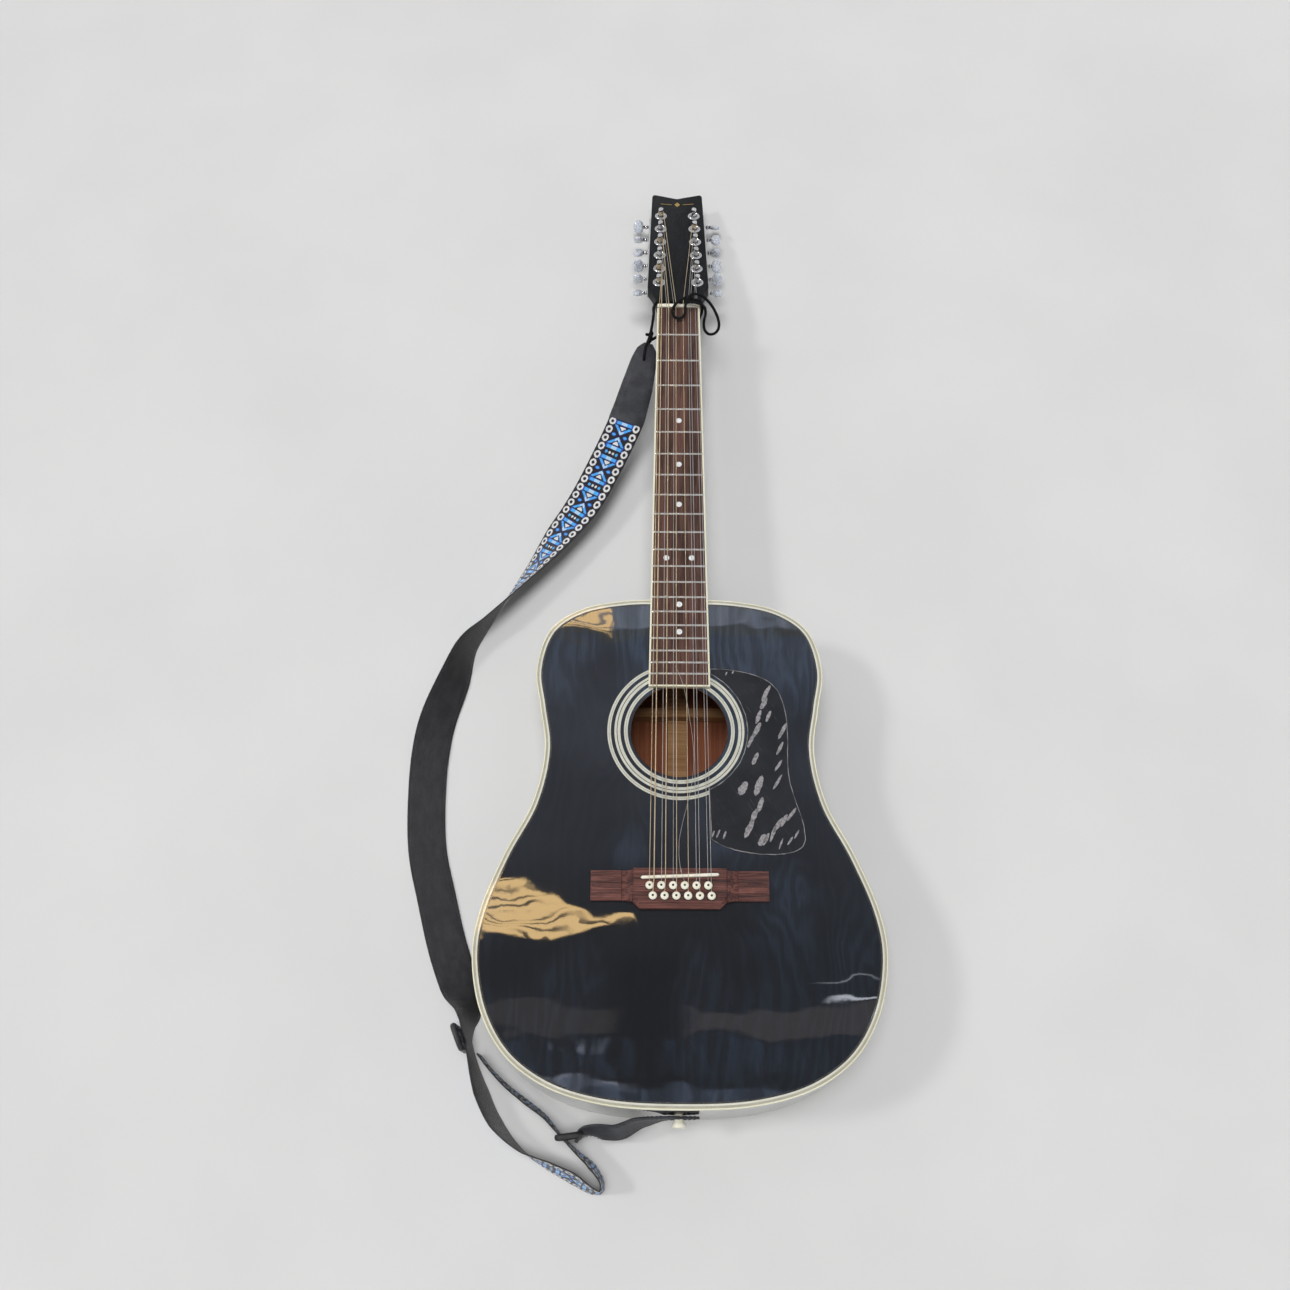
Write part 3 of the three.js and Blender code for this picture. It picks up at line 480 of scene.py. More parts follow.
CREAM = plain_look(
    "binding_cream", (0.80, 0.78, 0.60), 0.24, (0.72, 0.70, 0.52), 0.02, 0.01,
    coat_weight=0.6, coat_roughness=0.05,
)
RING_PALE = plain_look(
    "rosette_pale", (0.57, 0.57, 0.49), 0.26, (0.49, 0.49, 0.42), 0.1, 0.02, coat_weight=0.4
)
GREY_LINE = plain_look(
    "purfling_grey", (0.41, 0.395, 0.31), 0.26, (0.35, 0.335, 0.26), 0.1, 0.02, coat_weight=0.4
)
PURFLE = plain_look("purfling_white", (0.68, 0.67, 0.57), 0.26, (0.60, 0.59, 0.50), 0.04, 0.01, **COAT)
LINE = plain_look("purfling_line", (0.02, 0.02, 0.02), 0.26, (0.05, 0.05, 0.045), 0.1, 0.01, **COAT)
BONE = plain_look("nut_bone", (0.90, 0.88, 0.79), 0.34, (0.74, 0.69, 0.54), 0.12, 0.02)
IVORY = plain_look("pin_ivory", (0.86, 0.84, 0.72), 0.25, (0.78, 0.74, 0.60), 0.1, 0.01, **THIN_COAT)
JET = plain_look("pin_dot", (0.01, 0.01, 0.01), 0.3, (0.025, 0.025, 0.025), 0.4, 0.01)
DOT_PEARL = plain_look("dot_pearl", (0.82, 0.84, 0.84), 0.2, (0.62, 0.66, 0.68), 0.35, 0.01, **THIN_COAT)
CHROME = plain_look("chrome_worn", (0.72, 0.73, 0.75), 0.12, (0.60, 0.60, 0.60), 0.08, 0.006, metallic=1.0)
NICKEL = plain_look("fret_nickel", (0.74, 0.73, 0.70), 0.24, (0.60, 0.58, 0.54), 0.1, 0.01, metallic=1.0)
STEEL = plain_look("rod_steel", (0.42, 0.42, 0.43), 0.4, (0.30, 0.29, 0.28), 0.1, 0.02, metallic=1.0)
BRONZE = string_look("string_bronze", (0.84, 0.70, 0.48), (0.70, 0.56, 0.38), True)
SILVER = string_look("string_steel", (0.72, 0.71, 0.70), (0.52, 0.50, 0.47), False)
GOLD = plain_look("inlay_gold", (0.62, 0.45, 0.16), 0.35, (0.48, 0.33, 0.11), 0.6, 0.01, metallic=1.0)
FILM = pickguard_look()
PEELED = plain_look("film_peeled", (0.15, 0.145, 0.155), 0.5, (0.33, 0.315, 0.325), 0.4, 0.25, 1.4)
FILM_EDGE = plain_look("pickguard_edge", (0.30, 0.29, 0.29), 0.6, (0.06, 0.06, 0.065), 0.09, 0.06)
JACQUARD = jacquard_look()
BACKING = backing_look()
LEATHER = leather_look("strap_leather", (0.018, 0.019, 0.023), (0.042, 0.044, 0.052))
THREAD = plain_look("stitch_thread", (0.03, 0.03, 0.034), 0.8, (0.06, 0.06, 0.065), 0.5, 0.05)
MOULDED = plain_look("slider_plastic", (0.016, 0.016, 0.018), 0.42, (0.03, 0.03, 0.032), 0.1, 0.03, 1.2)
BRAID = lace_look()
PEARL = pearl_look()
# Painted shade for the string holes in the tuner posts.
PAINTED_HOLE_SHADE = plain_look("hole_dark", (0.01, 0.01, 0.01), 0.6, (0.02, 0.02, 0.02), 0.1, 0.01)


# ---- shapes ----
class Shape:
    """Collects faces in millimetres, in the frame given by place, and becomes one piece."""

    def __init__(self, place=GUITAR):
        self.place = place
        self.points, self.faces, self.looks, self.uvs = [], [], [], []

    def add(self, points, faces, look=0, uvs=None, at=None):
        base = len(self.points)
        self.points += [at @ Vector(p) if at else Vector(p) for p in points]
        self.uvs += uvs or [(0.0, 0.0)] * len(points)
        self.faces += [[base + i for i in face] for face in faces]
        self.looks += look if isinstance(look, list) else [look] * len(faces)
        return self

    def loft(self, loops, look=0, caps=(True, True), ring=False, uvs=None, at=None):
        """Joins closed loops of points. look is a number, or one for each step round a loop."""
        n, count = len(loops[0]), len(loops)
        faces, looks = [], []
        for k in range(count if ring else count - 1):
            for i in range(n):
                j, m = (i + 1) % n, (k + 1) % count
                faces.append((k * n + i, k * n + j, m * n + j, m * n + i))
                looks.append(look[i] if isinstance(look, list) else look)
        for wanted, k in zip(caps, (0, count - 1)):
            if wanted and not ring:
                faces.append([k * n + i for i in range(n)])
                looks.append(look[0] if isinstance(look, list) else look)
        flat = [p for loop in loops for p in loop]
        return self.add(flat, faces, looks, uvs, at)

    def lathe(self, profile, sides=24, look=0, at=None, caps=(True, True)):
        """profile is (radius, height) pairs, turned about Z."""
        loops = [[(r * math.cos(a), r * math.sin(a), z) for a in full_turn(sides)] for r, z in profile]
        return self.loft(loops, look, caps, at=at)

    def slab(self, outline, low, high, look=0, chamfer=0.0, at=None):
        """An upright-sided plate with an optional rounded top and bottom edge."""
        steps = [(0, low), (0, high)]
        if chamfer:
            c, part = chamfer, 0.3 * chamfer
            steps = [(c, low), (part, low + part), (0, low + c)]
            steps += [(0, high - c), (part, high - part), (c, high)]
        loops = [[(*p, z) for p in shrink(outline, inset)] for inset, z in steps]
        return self.loft(loops, look, at=at)

    def tube(self, path, radius, sides=8, look=0):
        path = [Vector(p) for p in path]
        loops, uvs, length = [], [], 0.0
        side = None
        for i, p in enumerate(path):
            ahead = (path[min(i + 1, len(path) - 1)] - path[max(i - 1, 0)]).normalized()
            if side is None:
                side = ahead.orthogonal().normalized()
            side = (side - ahead * side.dot(ahead)).normalized()
            up = ahead.cross(side)
            if i:
                length += (p - path[i - 1]).length
            around = [side * (radius * math.cos(a)) + up * (radius * math.sin(a)) for a in full_turn(sides)]
            loops.append([p + way for way in around])
            uvs += [(k / sides, length) for k in range(sides)]
        return self.loft(loops, look, uvs=uvs)

    def piece(self, name, materials, body="guitar", stands_for=None, angle=38):
        mesh = bpy.data.meshes.new(name)
        mesh.from_pydata([self.place @ p for p in self.points], [], self.faces)
        for material in materials if isinstance(materials, (list, tuple)) else [materials]:
            mesh.materials.append(material)
        mesh.polygons.foreach_set("material_index", self.looks)
        layer = mesh.uv_layers.new(name="place")
        for loop in mesh.loops:
            layer.data[loop.index].uv = self.uvs[loop.vertex_index]
        finish_mesh(mesh, angle)
        made = bpy.data.objects.new(name, mesh)
        scene.collection.objects.link(made)
        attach(made, body)
        if stands_for:
            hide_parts(stands_for)
        return made


def finish_mesh(mesh, angle=38, weld=0):
    """Turns every face outwards and smooths all but the sharp edges. weld joins points that meet."""
    work = bmesh.new()
    work.from_mesh(mesh)
    if weld:
        bmesh.ops.remove_doubles(work, verts=work.verts, dist=weld)
    bmesh.ops.recalc_face_normals(work, faces=work.faces)
    work.to_mesh(mesh)
    work.free()
    mesh.shade_smooth()
    mesh.set_sharp_from_angle(angle=math.radians(angle))


def round_edges(made, width):
    modifier = made.modifiers.new("rounded", "BEVEL")
    modifier.width = width / 1000
    modifier.segments = 3
    modifier.limit_method = "ANGLE"
    modifier.angle_limit = math.radians(40)
    modifier.harden_normals = False


def shrink(outline, inset):
    """The outline moved inwards. It runs anticlockwise."""
    if not inset:
        return [(p[0], p[1]) for p in outline]
    n = len(outline)
    out = []
    for i in range(n):
        p, before, after = (Vector(outline[k % n][:2]) for k in (i, i - 1, i + 1))
        a = (p - before).normalized()
        b = (after - p).normalized()
        middle = (a + b).normalized()
        normal = Vector((-middle.y, middle.x))
        square = max(normal.dot(Vector((-a.y, a.x))), 0.4)
        out.append(tuple(p + normal * (inset / square)))
    return out


def circle(radius, sides, x=0.0, y=0.0):
    return [(x + radius * math.cos(a), y + radius * math.sin(a)) for a in full_turn(sides)]


# ---- the body's outline ----
HALF_OUTLINE = [
    (55, 360.5), (102, 371), (132, 394), (144.5, 438), (139, 478), (133, 522), (143, 576),
    (168, 627), (189, 683), (194, 722), (184, 774), (160, 814), (122, 841), (70, 856),
]
loop = [(0, BODY_START), *HALF_OUTLINE, (0, BODY_END), *[(-x, s) for x, s in reversed(HALF_OUTLINE)]]
rim = catmull([(x, MIDDLE - s, 0) for x, s in loop], 9, closed=True)
rim.reverse()


def outline(inset):
    n = len(rim)
    out = []
    for i in range(n):
        ahead = (rim[(i + 1) % n] - rim[i - 1]).normalized()
        out.append((rim[i].x - inset * ahead.y, rim[i].y + inset * ahead.x))
    return out


def rim_loop(inset, height):
    return [(x, y, height(x, y) if callable(height) else height) for x, y in outline(inset)]


def lift(by, drop=0.0):
    """Height above the back's rim, with the arch's share of its drop."""
    return lambda x, y: back_rim(x, y) + by - drop


def around(shape, profile, looks):
    """Sweeps a closed profile of (inset, height) round the body."""
    loops = [rim_loop(inset, height) for inset, height in profile]
    for look, near, far in zip(looks, loops, loops[1:] + loops[:1]):
        shape.loft([near, far], look, (False, False))


def filled(shape, loops, height, look):
    """A flat face inside the first loop and outside the others."""
    work = bmesh.new()
    edges = []
    for points in loops:
        made = [work.verts.new((p[0], p[1], 0)) for p in points]
        edges += [work.edges.new((made[i - 1], made[i])) for i in range(len(made))]
    bmesh.ops.triangle_fill(work, edges=edges, use_beauty=True, use_dissolve=False)
    work.verts.index_update()
    points = [(v.co.x, v.co.y, height(v.co.x, v.co.y) if callable(height) else height) for v in work.verts]
    faces = [[v.index for v in f.verts] for f in work.faces]
    work.free()
    shape.add(points, faces, look)


def weld(made):
    finish_mesh(made.data, weld=1e-6)


def make_body():
    top = Shape()
    hole = circle(HOLE_RADIUS, 96, 0, MIDDLE - HOLE_AT)
    hole_in = circle(HOLE_RADIUS + 0.5, 96, 0, MIDDLE - HOLE_AT)
    edge = outline(PURFLING)
    filled(top, [edge, hole_in], 0.0, 0)
    filled(top, [edge, hole], -PLATE, 1)
    walls = [[(*p, z) for p in ring] for ring, z in ((hole_in, 0), (hole, -0.5), (hole, -PLATE))]
    top.loft(walls, 0, (False, False))
    top.loft([[(*p, z) for p in edge] for z in (0, -PLATE)], 1, (False, False))
    weld(top.piece("soundboard", [LACQUER, SPRUCE], stands_for="top_plate"))

    binding = Shape()
    rows = [(PURFLING, 0), (5.2, 0.02), (3.5, 0.02), (1.3, 0.02), (0.5, 0.02), (0.2, -0.25), (0, -0.8)]
    rows += [(0, -BINDING), (1.2, -BINDING), (1.2, -PLATE), (PURFLING, -PLATE)]
    around(binding, rows, [2, 1, 3] + [0] * 8)
    looks = [CREAM, PURFLE, LINE, GREY_LINE]
    weld(binding.piece("top_edge_binding", looks, stands_for="top_binding"))

    sides = Shape()
    rows = [(0.01, -BINDING), (0.01, lift(BINDING)), (RIM, lift(BINDING)), (RIM, -PLATE - 0.2)]
    around(sides, rows, [0, 0, 1, 1])
    weld(sides.piece("side_wood", [LACQUER_SIDE, MAHOGANY], stands_for="side_rim"))

    foot = Shape()
    rows = [(0, lift(BINDING)), (0, lift(0.8)), (0.25, lift(0.25)), (0.8, lift(0, 0.05)), (2.4, lift(0, 0.3))]
    around(foot, rows + [(2.4, lift(BINDING))], [0, 0, 0, 0, 1, 1])
    weld(foot.piece("back_edge_binding", [CREAM, MAHOGANY], stands_for="back_binding"))

    back = Shape()
    arch = [(2.4, 0.3), (6, 0.95), (11, 1.9), (17, 2.95), (24, 3.95), (31, 4.65), (38, ARCH)]
    outside = [rim_loop(inset, lift(0, drop)) for inset, drop in arch]
    inside = [rim_loop(inset, lift(PLATE, drop)) for inset, drop in arch]
    back.loft(outside, 0, (False, False))
    back.loft(inside, 1, (False, False))
    back.loft([outside[0], inside[0]], 1, (False, False))
    filled(back, [outside[-1]], lift(0, ARCH), 0)
    filled(back, [inside[-1]], lift(PLATE, ARCH), 1)
    weld(back.piece("back_panel", [LACQUER_BACK, MAHOGANY], stands_for="back_plate"))

    rosette = Shape()
    centre = Matrix.Translation((0, MIDDLE - HOLE_AT, 0))
    for radii in ((51.3, 53.0, 53.25, 55.0), (58.6, 61.5, 62.2, 64.5), (68.0, 69.5, 69.75, 71.5)):
        for inner, outer, look in zip(radii, radii[1:], (0, 1, 0)):
            high = 0.05 if look else 0.06
            section = ((inner, -0.3), (inner, high), (outer, high), (outer, -0.3))
            loops = [[(*p, z) for p in circle(r, 128)] for r, z in section]
            rosette.loft(loops, look, ring=True, at=centre)
    rosette.piece("rosette_rings", [RING_PALE, LINE], stands_for="rosette")


make_body()


def dress(node, material, bevel):
    """A CAD node that keeps its shape gets its material and softer edges."""
    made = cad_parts[node]
    made.data.materials.clear()
    made.data.materials.append(material)
    made.data.shade_smooth()
    made.data.set_sharp_from_angle(angle=math.radians(35))
    if bevel:
        round_edges(made, bevel)


DRESSED = {
    "top_lining": (SPRUCE, 0), "back_lining": (SPRUCE, 0), "top_braces": (BRACE, 1.2),
    "back_braces": (BRACE, 2.0), "neck_block": (MAHOGANY, 0.6), "tail_block": (MAHOGANY, 0.6),
    "bridge_plate": (ROSEWOOD, 0.4), "truss_rod": (STEEL, 0.4), "tuner_plate_bass": (CHROME, 0.25),
    "tuner_plate_treble": (CHROME, 0.25),
}
for node, (material, bevel) in DRESSED.items():
    dress(node, material, bevel)


# ---- neck, fingerboard and headstock ----
def make_neck():
    """Stations of distance from the nut, half width, depth and height of the top."""
    stations = [
        (-34, 17, 9, -14.6), (-22, 20, 12.4, -9), (-12, 22.6, 15.5, -4), (-NUT_BACK, 23.8, 15.2, 0),
        (0, 23.85, 14.8, 0), (40, 24.4, 15.5, 0), (150, 26.1, 16.5, 0), (285, 28.2, 18, 0),
        (308, 28.5, 25, 0), (328, 28.6, 44, 0), (344, 28.6, 67, 0), (BODY_START - 0.3, 28, 88, 0),
    ]
    arc = half_turn(28)
    depths = catmull([(s, depth, top) for s, _, depth, top in stations], 6)
    halves = catmull([(s, half, 0) for s, half, _, _ in stations], 6)
    loops = []
    for (s, depth, top), (_, half, _) in zip(depths, halves):
        low = [min(top, 0) - depth * math.sin(a) ** 0.86 for a in arc]
        loops.append([(half * math.cos(a), MIDDLE - s, z) for a, z in zip(arc, low)])
    shaft = Shape()
    shaft.loft(loops)
    shaft.piece("neck_shaft", NECK_BLACK, stands_for="neck", angle=50)


def bezier(a, b, c, steps=8):
    a, b, c = Vector(a), Vector(b), Vector(c)
    return [tuple(a.lerp(b, t).lerp(b.lerp(c, t), t)) for t in (i / steps for i in range(steps + 1))]


def make_headstock():
    right = [(24, 0.3), *bezier((24, 0.3), (26.5, 17), (35, 33))[1:], (34.3, 58), (32.7, 118), (31.2, 172)]
    right += [*bezier((30.3, 203), (30, 208), (26, 207.3), 5), (13, 203.4)]
    edge = right + [(0, 199.6)] + [(-x, y) for x, y in reversed(right)]
    paddle = Shape(HEAD)
    veneer = 1.9
    paddle.slab(edge, -HEAD_THICK, -veneer, 0, 0.9)
    paddle.slab(edge, 0.05 - veneer, 0, 0, 0.45)
    name = "headstock_paddle"
    paddle.piece(name, HEAD_BLACK, stands_for="headstock_veneer", angle=30)
    # A plain lozenge between two thin bars.
    inlay = Shape(HEAD)
    inlay.slab([(0, 183.5), (3.4, 188), (0, 192.5), (-3.4, 188)], -0.1, 0.08, 0)
    for side in (-1, 1):
        bar = [(side * 6.5, 187.6), (side * 20, 189.2), (side * 20, 190.0), (side * 6.5, 188.5)]
        inlay.slab(bar if side > 0 else bar[::-1], -0.1, 0.08, 0)
    inlay.piece("headstock_inlay", GOLD)


def make_board():
    board = Shape()
    side, end, proud = 1.7, 1.8, BOARD_TOP + 0.02

    def strip_of(x0, x1, look, high):
        """A long prism whose edges are given at the nut and at the board's end."""
        loops = []
        for s, a, b in ((0.3, x0[0], x1[0]), (BOARD_END - end, x0[1], x1[1])):
            section = ((a, BOARD_LOW), (b, BOARD_LOW), (b, high), (a, high))
            loops.append([(x, MIDDLE - s, z) for x, z in section])
        board.loft(loops, look)

    near, far = board_half(0), board_half(BOARD_END)
    strip_of((-near + side, -far + side), (near - side, far - side), 0, BOARD_TOP)
    for sign in (-1, 1):
        outer, inner = (sign * near, sign * far), (sign * (near - side), sign * (far - side))
        strip_of(outer, inner, 1, proud)
    low_y = MIDDLE - BOARD_END
    corners = [(-far, low_y), (far, low_y), (far, low_y + end), (-far, low_y + end)]
    board.slab(corners, BOARD_LOW, proud, 1, 0.25)
    arc = half_turn(8)
    for n in range(1, FRETS + 1):
        s = SCALE * (1 - 2 ** (-n / 12))
        half = board_half(s) - 0.9
        xs = [-half, -half + 0.5, -half + 1.4, half - 1.4, half - 0.5, half]
        loops = []
        for x, share in zip(xs, (0.15, 0.7, 1, 1, 0.7, 0.15)):
            rise = (FRET_TOP - BOARD_TOP) * share
            section = [(1.15 * math.cos(a), rise * math.sin(a) - 0.05) for a in arc]
            loops.append([(x, MIDDLE - s + y, BOARD_TOP + z) for y, z in section])
        board.loft(loops, 2)
    for fret in DOTTED_FRETS:
        s = SCALE * (1 - (2 ** (-fret / 12) + 2 ** (-(fret - 1) / 12)) / 2)
        for x in (-13.2, 13.2) if fret == 12 else (0,):
            at = Matrix.Translation((x, MIDDLE - s, BOARD_TOP))
            board.lathe([(3.1, -0.3), (3.1, 0.03), (2.9, 0.06), (0.01, 0.08)], 24, 3, at)
    looks = [ROSEWOOD, CREAM, NICKEL, DOT_PEARL]
    board.piece("fingerboard_dressed", looks, stands_for="fingerboard", angle=30)


def string_places():
    """For each string: its course, member, saddle place, nut place and post number."""
    rows = []
    course_gap, pair_gap = 8.1, 2.4
    for course in range(6):
        for member in (0, 1):
            bass = course < 3
            pair = course if bass else 5 - course
            further = member if bass else 1 - member
            post = (0 if bass else 6) + pair * 2 + further
            nut_x = (course - 2.5) * course_gap + (member - 0.5) * pair_gap
            rows.append((course, member, SADDLE_PAIRS[course][member], nut_x, post))
    return rows


STRINGS = string_places()
POSTS = []
for side in (-1, 1):
    for i in range(6):
        spread = POST_SPREAD[0] + (POST_SPREAD[1] - POST_SPREAD[0]) * i / 5
        POSTS.append((side, side * spread, POST_FIRST + i * POST_PITCH))


def make_nut():
    """A bone block with a slot for each string and a rounded back."""
    nut = Shape()
    half, low = 23.7, 0.3
    tops = [(-half, 6.6), (-half + 0.8, 8.0)]
    for x in sorted(row[3] for row in STRINGS):
        tops += [(x - 0.62, 8.3), (x - 0.5, NUT_SLOT), (x + 0.5, NUT_SLOT), (x + 0.62, 8.3)]
    tops += [(half - 0.8, 8.0), (half, 6.6)]
    loops = []
    for y, drop in ((0.35, 0.5), (0.7, 0.05), (3.2, 0.0), (4.9, 0.9), (5.7, 2.4)):
        section = [(x, z - drop) for x, z in tops] + [(half, low), (-half, low)]
        loops.append([(x, MIDDLE + y, z) for x, z in section])
    nut.loft(loops)
    nut.piece("nut_block", BONE, stands_for="nut", angle=30)


make_neck()
make_headstock()
make_board()
make_nut()


# ---- tuning machines ----
def make_ferrules():
    """A ring round each post, and the small screw beside it."""
    caps = Shape(HEAD)
    ferrule = [
        (7.1, -0.2), (7.1, 0.6), (6.7, 1.1), (6.1, 1.3), (5.7, 1.0), (5.4, 0.5), (5.1, 0.6), (4.8, 1.4),
        (4.2, 1.5), (3.8, 1.1), (3.7, -0.2),
    ]
    screw = [(2.7, -0.1), (2.7, 0.5), (2.2, 1.2), (1.2, 1.55), (0.01, 1.6)]
    for _, x, y in POSTS:
        caps.lathe(ferrule, 32, 0, Matrix.Translation((x, y, 0)), (False, False))
        caps.lathe(screw, 20, 0, Matrix.Translation((x, y + POST_PITCH * 0.5, 0)))
    caps.piece("post_ferrules", CHROME)


def make_post(number, x, y):
    """A waisted post with its string hole, shown as a small dark disc of painted shade at each end, and the
    gear under the headstock.
    """
    post = Shape(HEAD)
    at = Matrix.Translation((x, y, 0))
    profile = [
        (POST_RADIUS, -20.5), (POST_RADIUS, 2.0), (2.85, 3.0), (2.35, 4.2), (2.25, 5.6), (2.45, 7.0),
        (2.95, 8.2), (2.98, 10.0), (2.7, 10.7), (2.1, 11.0), (0.01, 11.0),
    ]
    post.lathe(profile, 24, 0, at)
    gear = []
    for i, a in enumerate(full_turn(2 * GEAR_TEETH)):
        radius = 4.3 if i % 2 else 5.15
        gear.append((radius * math.cos(a), radius * math.sin(a)))
    post.slab(gear, -WORM_DEPTH - 2, -WORM_DEPTH + 2, 0, at=at)
    # Each end of the string hole is a small dark disc, painted shade where the hole is.
    for sign in (-1, 1):
        hole = Matrix.Translation((x, y + sign * 2.93, 9.1)) @ Matrix.Rotation(-sign * math.pi / 2, 4, "X")
        post.lathe([(0.75, 0), (0.7, 0.1), (0.01, 0.12)], 12, 1, hole)
    looks = [CHROME, PAINTED_HOLE_SHADE]
    post.piece(f"post_{number}_turned", looks, f"post_{number}", f"tuner_post_{number}")


def make_key(number, side, x, y):
    """A shaft with its worm, washers and button, lying across the headstock's back."""
    key = Shape(HEAD)
    turn = Matrix.Translation((x, y + WORM_OFFSET, -WORM_DEPTH))
    if side < 0:
        turn = turn @ Matrix.Rotation(math.pi, 4, "Z")
    turn = turn @ Matrix.Rotation(math.radians(BUTTON_TURNS[number - 1]), 4, "X")
    lying = turn @ Matrix.Rotation(math.pi / 2, 4, "Y")
    reach = BUTTON_AT - abs(x)
    neck_end = reach - 5.6
    shaft = [
        (0.01, -4.4), (1.35, -4.4), (1.4, -3.5), (1.4, 13.6), (2.4, 13.9), (2.5, 14.6), (1.8, 15.2),
        (1.5, 15.8), (1.5, neck_end - 0.8), (2.1, neck_end), (2.2, neck_end + 1.2), (0.01, neck_end + 1.4),
    ]
    key.lathe(shaft, 20, 0, lying)
    for place, radius, look in ((16.0, 2.1, 2), (17.2, 2.9, 0), (18.9, 2.1, 2)):
        edge = [(radius - 0.2, place + 0.1), (radius, place + 0.6), (radius - 0.2, place + 1.1)]
        key.lathe([(1.4, place), *edge, (1.4, place + 1.2)], 20, look, lying)
    worm = []
    for i in range(6):
        z = -3.3 + i * 1.1
        worm += [(1.7, z), (2.3, z + 0.35), (2.3, z + 0.6), (1.7, z + 0.95)]
    key.lathe([(1.3, -3.4), *worm, (1.3, 3.4)], 20, 0, lying)
    make_button(key, turn, reach)
    looks = [CHROME, PEARL, JET]
    key.piece(f"key_{number}_turned", looks, f"key_{number}", f"tuner_key_{number}", 40)


def make_button(key, turn, reach):
    """An oval button, thicker at its rim than at its waist, with a pinched root."""
    half_long, half_wide, half_thick = 6.2, 8.2, 3.0
    loops = []
    for i in range(13):
        t = -1 + i / 6
        wide = max((1 - abs(t) ** 2.6) ** (1 / 2.6), 0.04)
        thick = max(half_thick * (1 - abs(t) ** 3.4) ** 0.5, 0.1)
        root = 1 - 0.25 * smooth(-0.2, -1, t)
        ring = []
        for a in full_turn(24):
            c, s = math.cos(a), math.sin(a)
            y = half_wide * wide * root * math.copysign(abs(c) ** 0.8, c)
            z = thick * math.copysign(abs(s) ** 0.7, s) * (0.86 + 0.14 * abs(c))
            ring.append((reach + half_long * t, y, z))
        loops.append(ring)
    key.loft(loops, 1, at=turn)


def make_wraps(number, x, y):
    """The string's turns on its post."""
    course, member = next(row[:2] for row in STRINGS if row[4] == number - 1)
    if (course, member) == BROKEN_STRING:
        return
    radius = STRING_RADII[course][member]
    turns = 5 if radius < 0.3 else 3.5
    first, gap = 6.2, 0.06
    reach = POST_WAIST + radius
    path = []
    for i in range(int(turns * 16) + 1):
        a = 2 * math.pi * i / 16
        height = first - i / 16 * (2 * radius + gap)
        path.append((x + reach * math.cos(a), y + reach * math.sin(a), height))
    wraps = Shape(HEAD)
    wraps.tube(path, radius, 6)
    metal = BRONZE if (course, member) in WOUND else SILVER
    wraps.piece(f"post_{number}_wraps", metal, f"post_{number}", angle=60)


STRING_RADII = ((0.36, 0.62), (0.28, 0.52), (0.24, 0.42), (0.18, 0.36), (0.27, 0.27), (0.24, 0.24))
WOUND = {(0, 0), (0, 1), (1, 1), (2, 1), (3, 1)}
BROKEN_STRING = (3, 0)
make_ferrules()
for number, (side, x, y) in enumerate(POSTS, 1):
    make_post(number, x, y)
    make_wraps(number, x, y)
    make_key(number, side, x, y)


# ---- bridge, saddle, pins and strings ----
def make_bridge():
    """Straight wings, a scooped step on each, and a raised middle that falls away behind the pins."""
    bridge = Shape()
    xs = [-84.5, -84.0, -83, -70, -57, -55.3, -54.8, -53, -50, -47, -45.2, -44.8, -44.3, -43.6, -38, -20, 0]
    xs += [-x for x in reversed(xs[:-1])]
    wing_front, wing_rear, middle_end, step_end = 644.2, 672.8, 44.75, 55
    loops = []
    for x in xs:
        a = abs(x)
        front, rear = wing_front, wing_rear
        if a < middle_end:
            top = BRIDGE_TOP - 0.5 * smooth(43.9, 44.4, a)
            front = 642.5
            rear = 680.5 - 6.5 * max((a - 38) / (middle_end - 38), 0)
            slope, drop = 6.0, 3.6
        elif a < step_end:
            top = 4.4 + 3.2 * (1 - smooth(middle_end, 53, a))
            rear += 1.2 * (1 - smooth(middle_end, 52, a))
            slope, drop = 1.5, 1.0
        else:
            top = WING_TOP - 0.5 * smooth(step_end, 84, a) - 0.7 * smooth(83.3, 84.5, a)
            slope, drop = 2.0, 1.6
        rows = [
            (front, 0.3), (front, top - 0.9), (front + 0.3, top - 0.25), (front + 0.9, top),
            ((front + rear) / 2, top), (rear - slope, top), (rear - slope * 0.5, top - drop * 0.42),
            (rear, top - drop), (rear, 0.3),
        ]
        loops.append([(x, MIDDLE - s, z) for s, z in rows])
    bridge.loft(loops)
    bridge.piece("bridge_carved", BRIDGE_WOOD, stands_for="bridge", angle=26)



def make_saddle():
    """A bone strip with a rounded crest and rounded ends, set at its slant."""
    saddle = Shape()
    loops = []
    arc = half_turn(6)
    for x in (-37.1, -36.7, -35.8, -30, -20, -10, 0, 10, 20, 30, 35.8, 36.7, 37.1):
        end = 1 - 0.75 * smooth(35.6, 37.1, abs(x))
        s = SADDLE_AT + SADDLE_SLANT * x
        half = 1.6 * max(end, 0.3)
        high = SADDLE_TOP - 1.6 * (1 - end)
        section = [(half * math.cos(a), high - 1.4 + 1.4 * math.sin(a)) for a in arc]
        section += [(-half, 6), (half, 6)]
        loops.append([(x, MIDDLE - s + y, z) for y, z in section])
    saddle.loft(loops)
    saddle.piece("saddle_rounded", BONE, stands_for="saddle", angle=50)


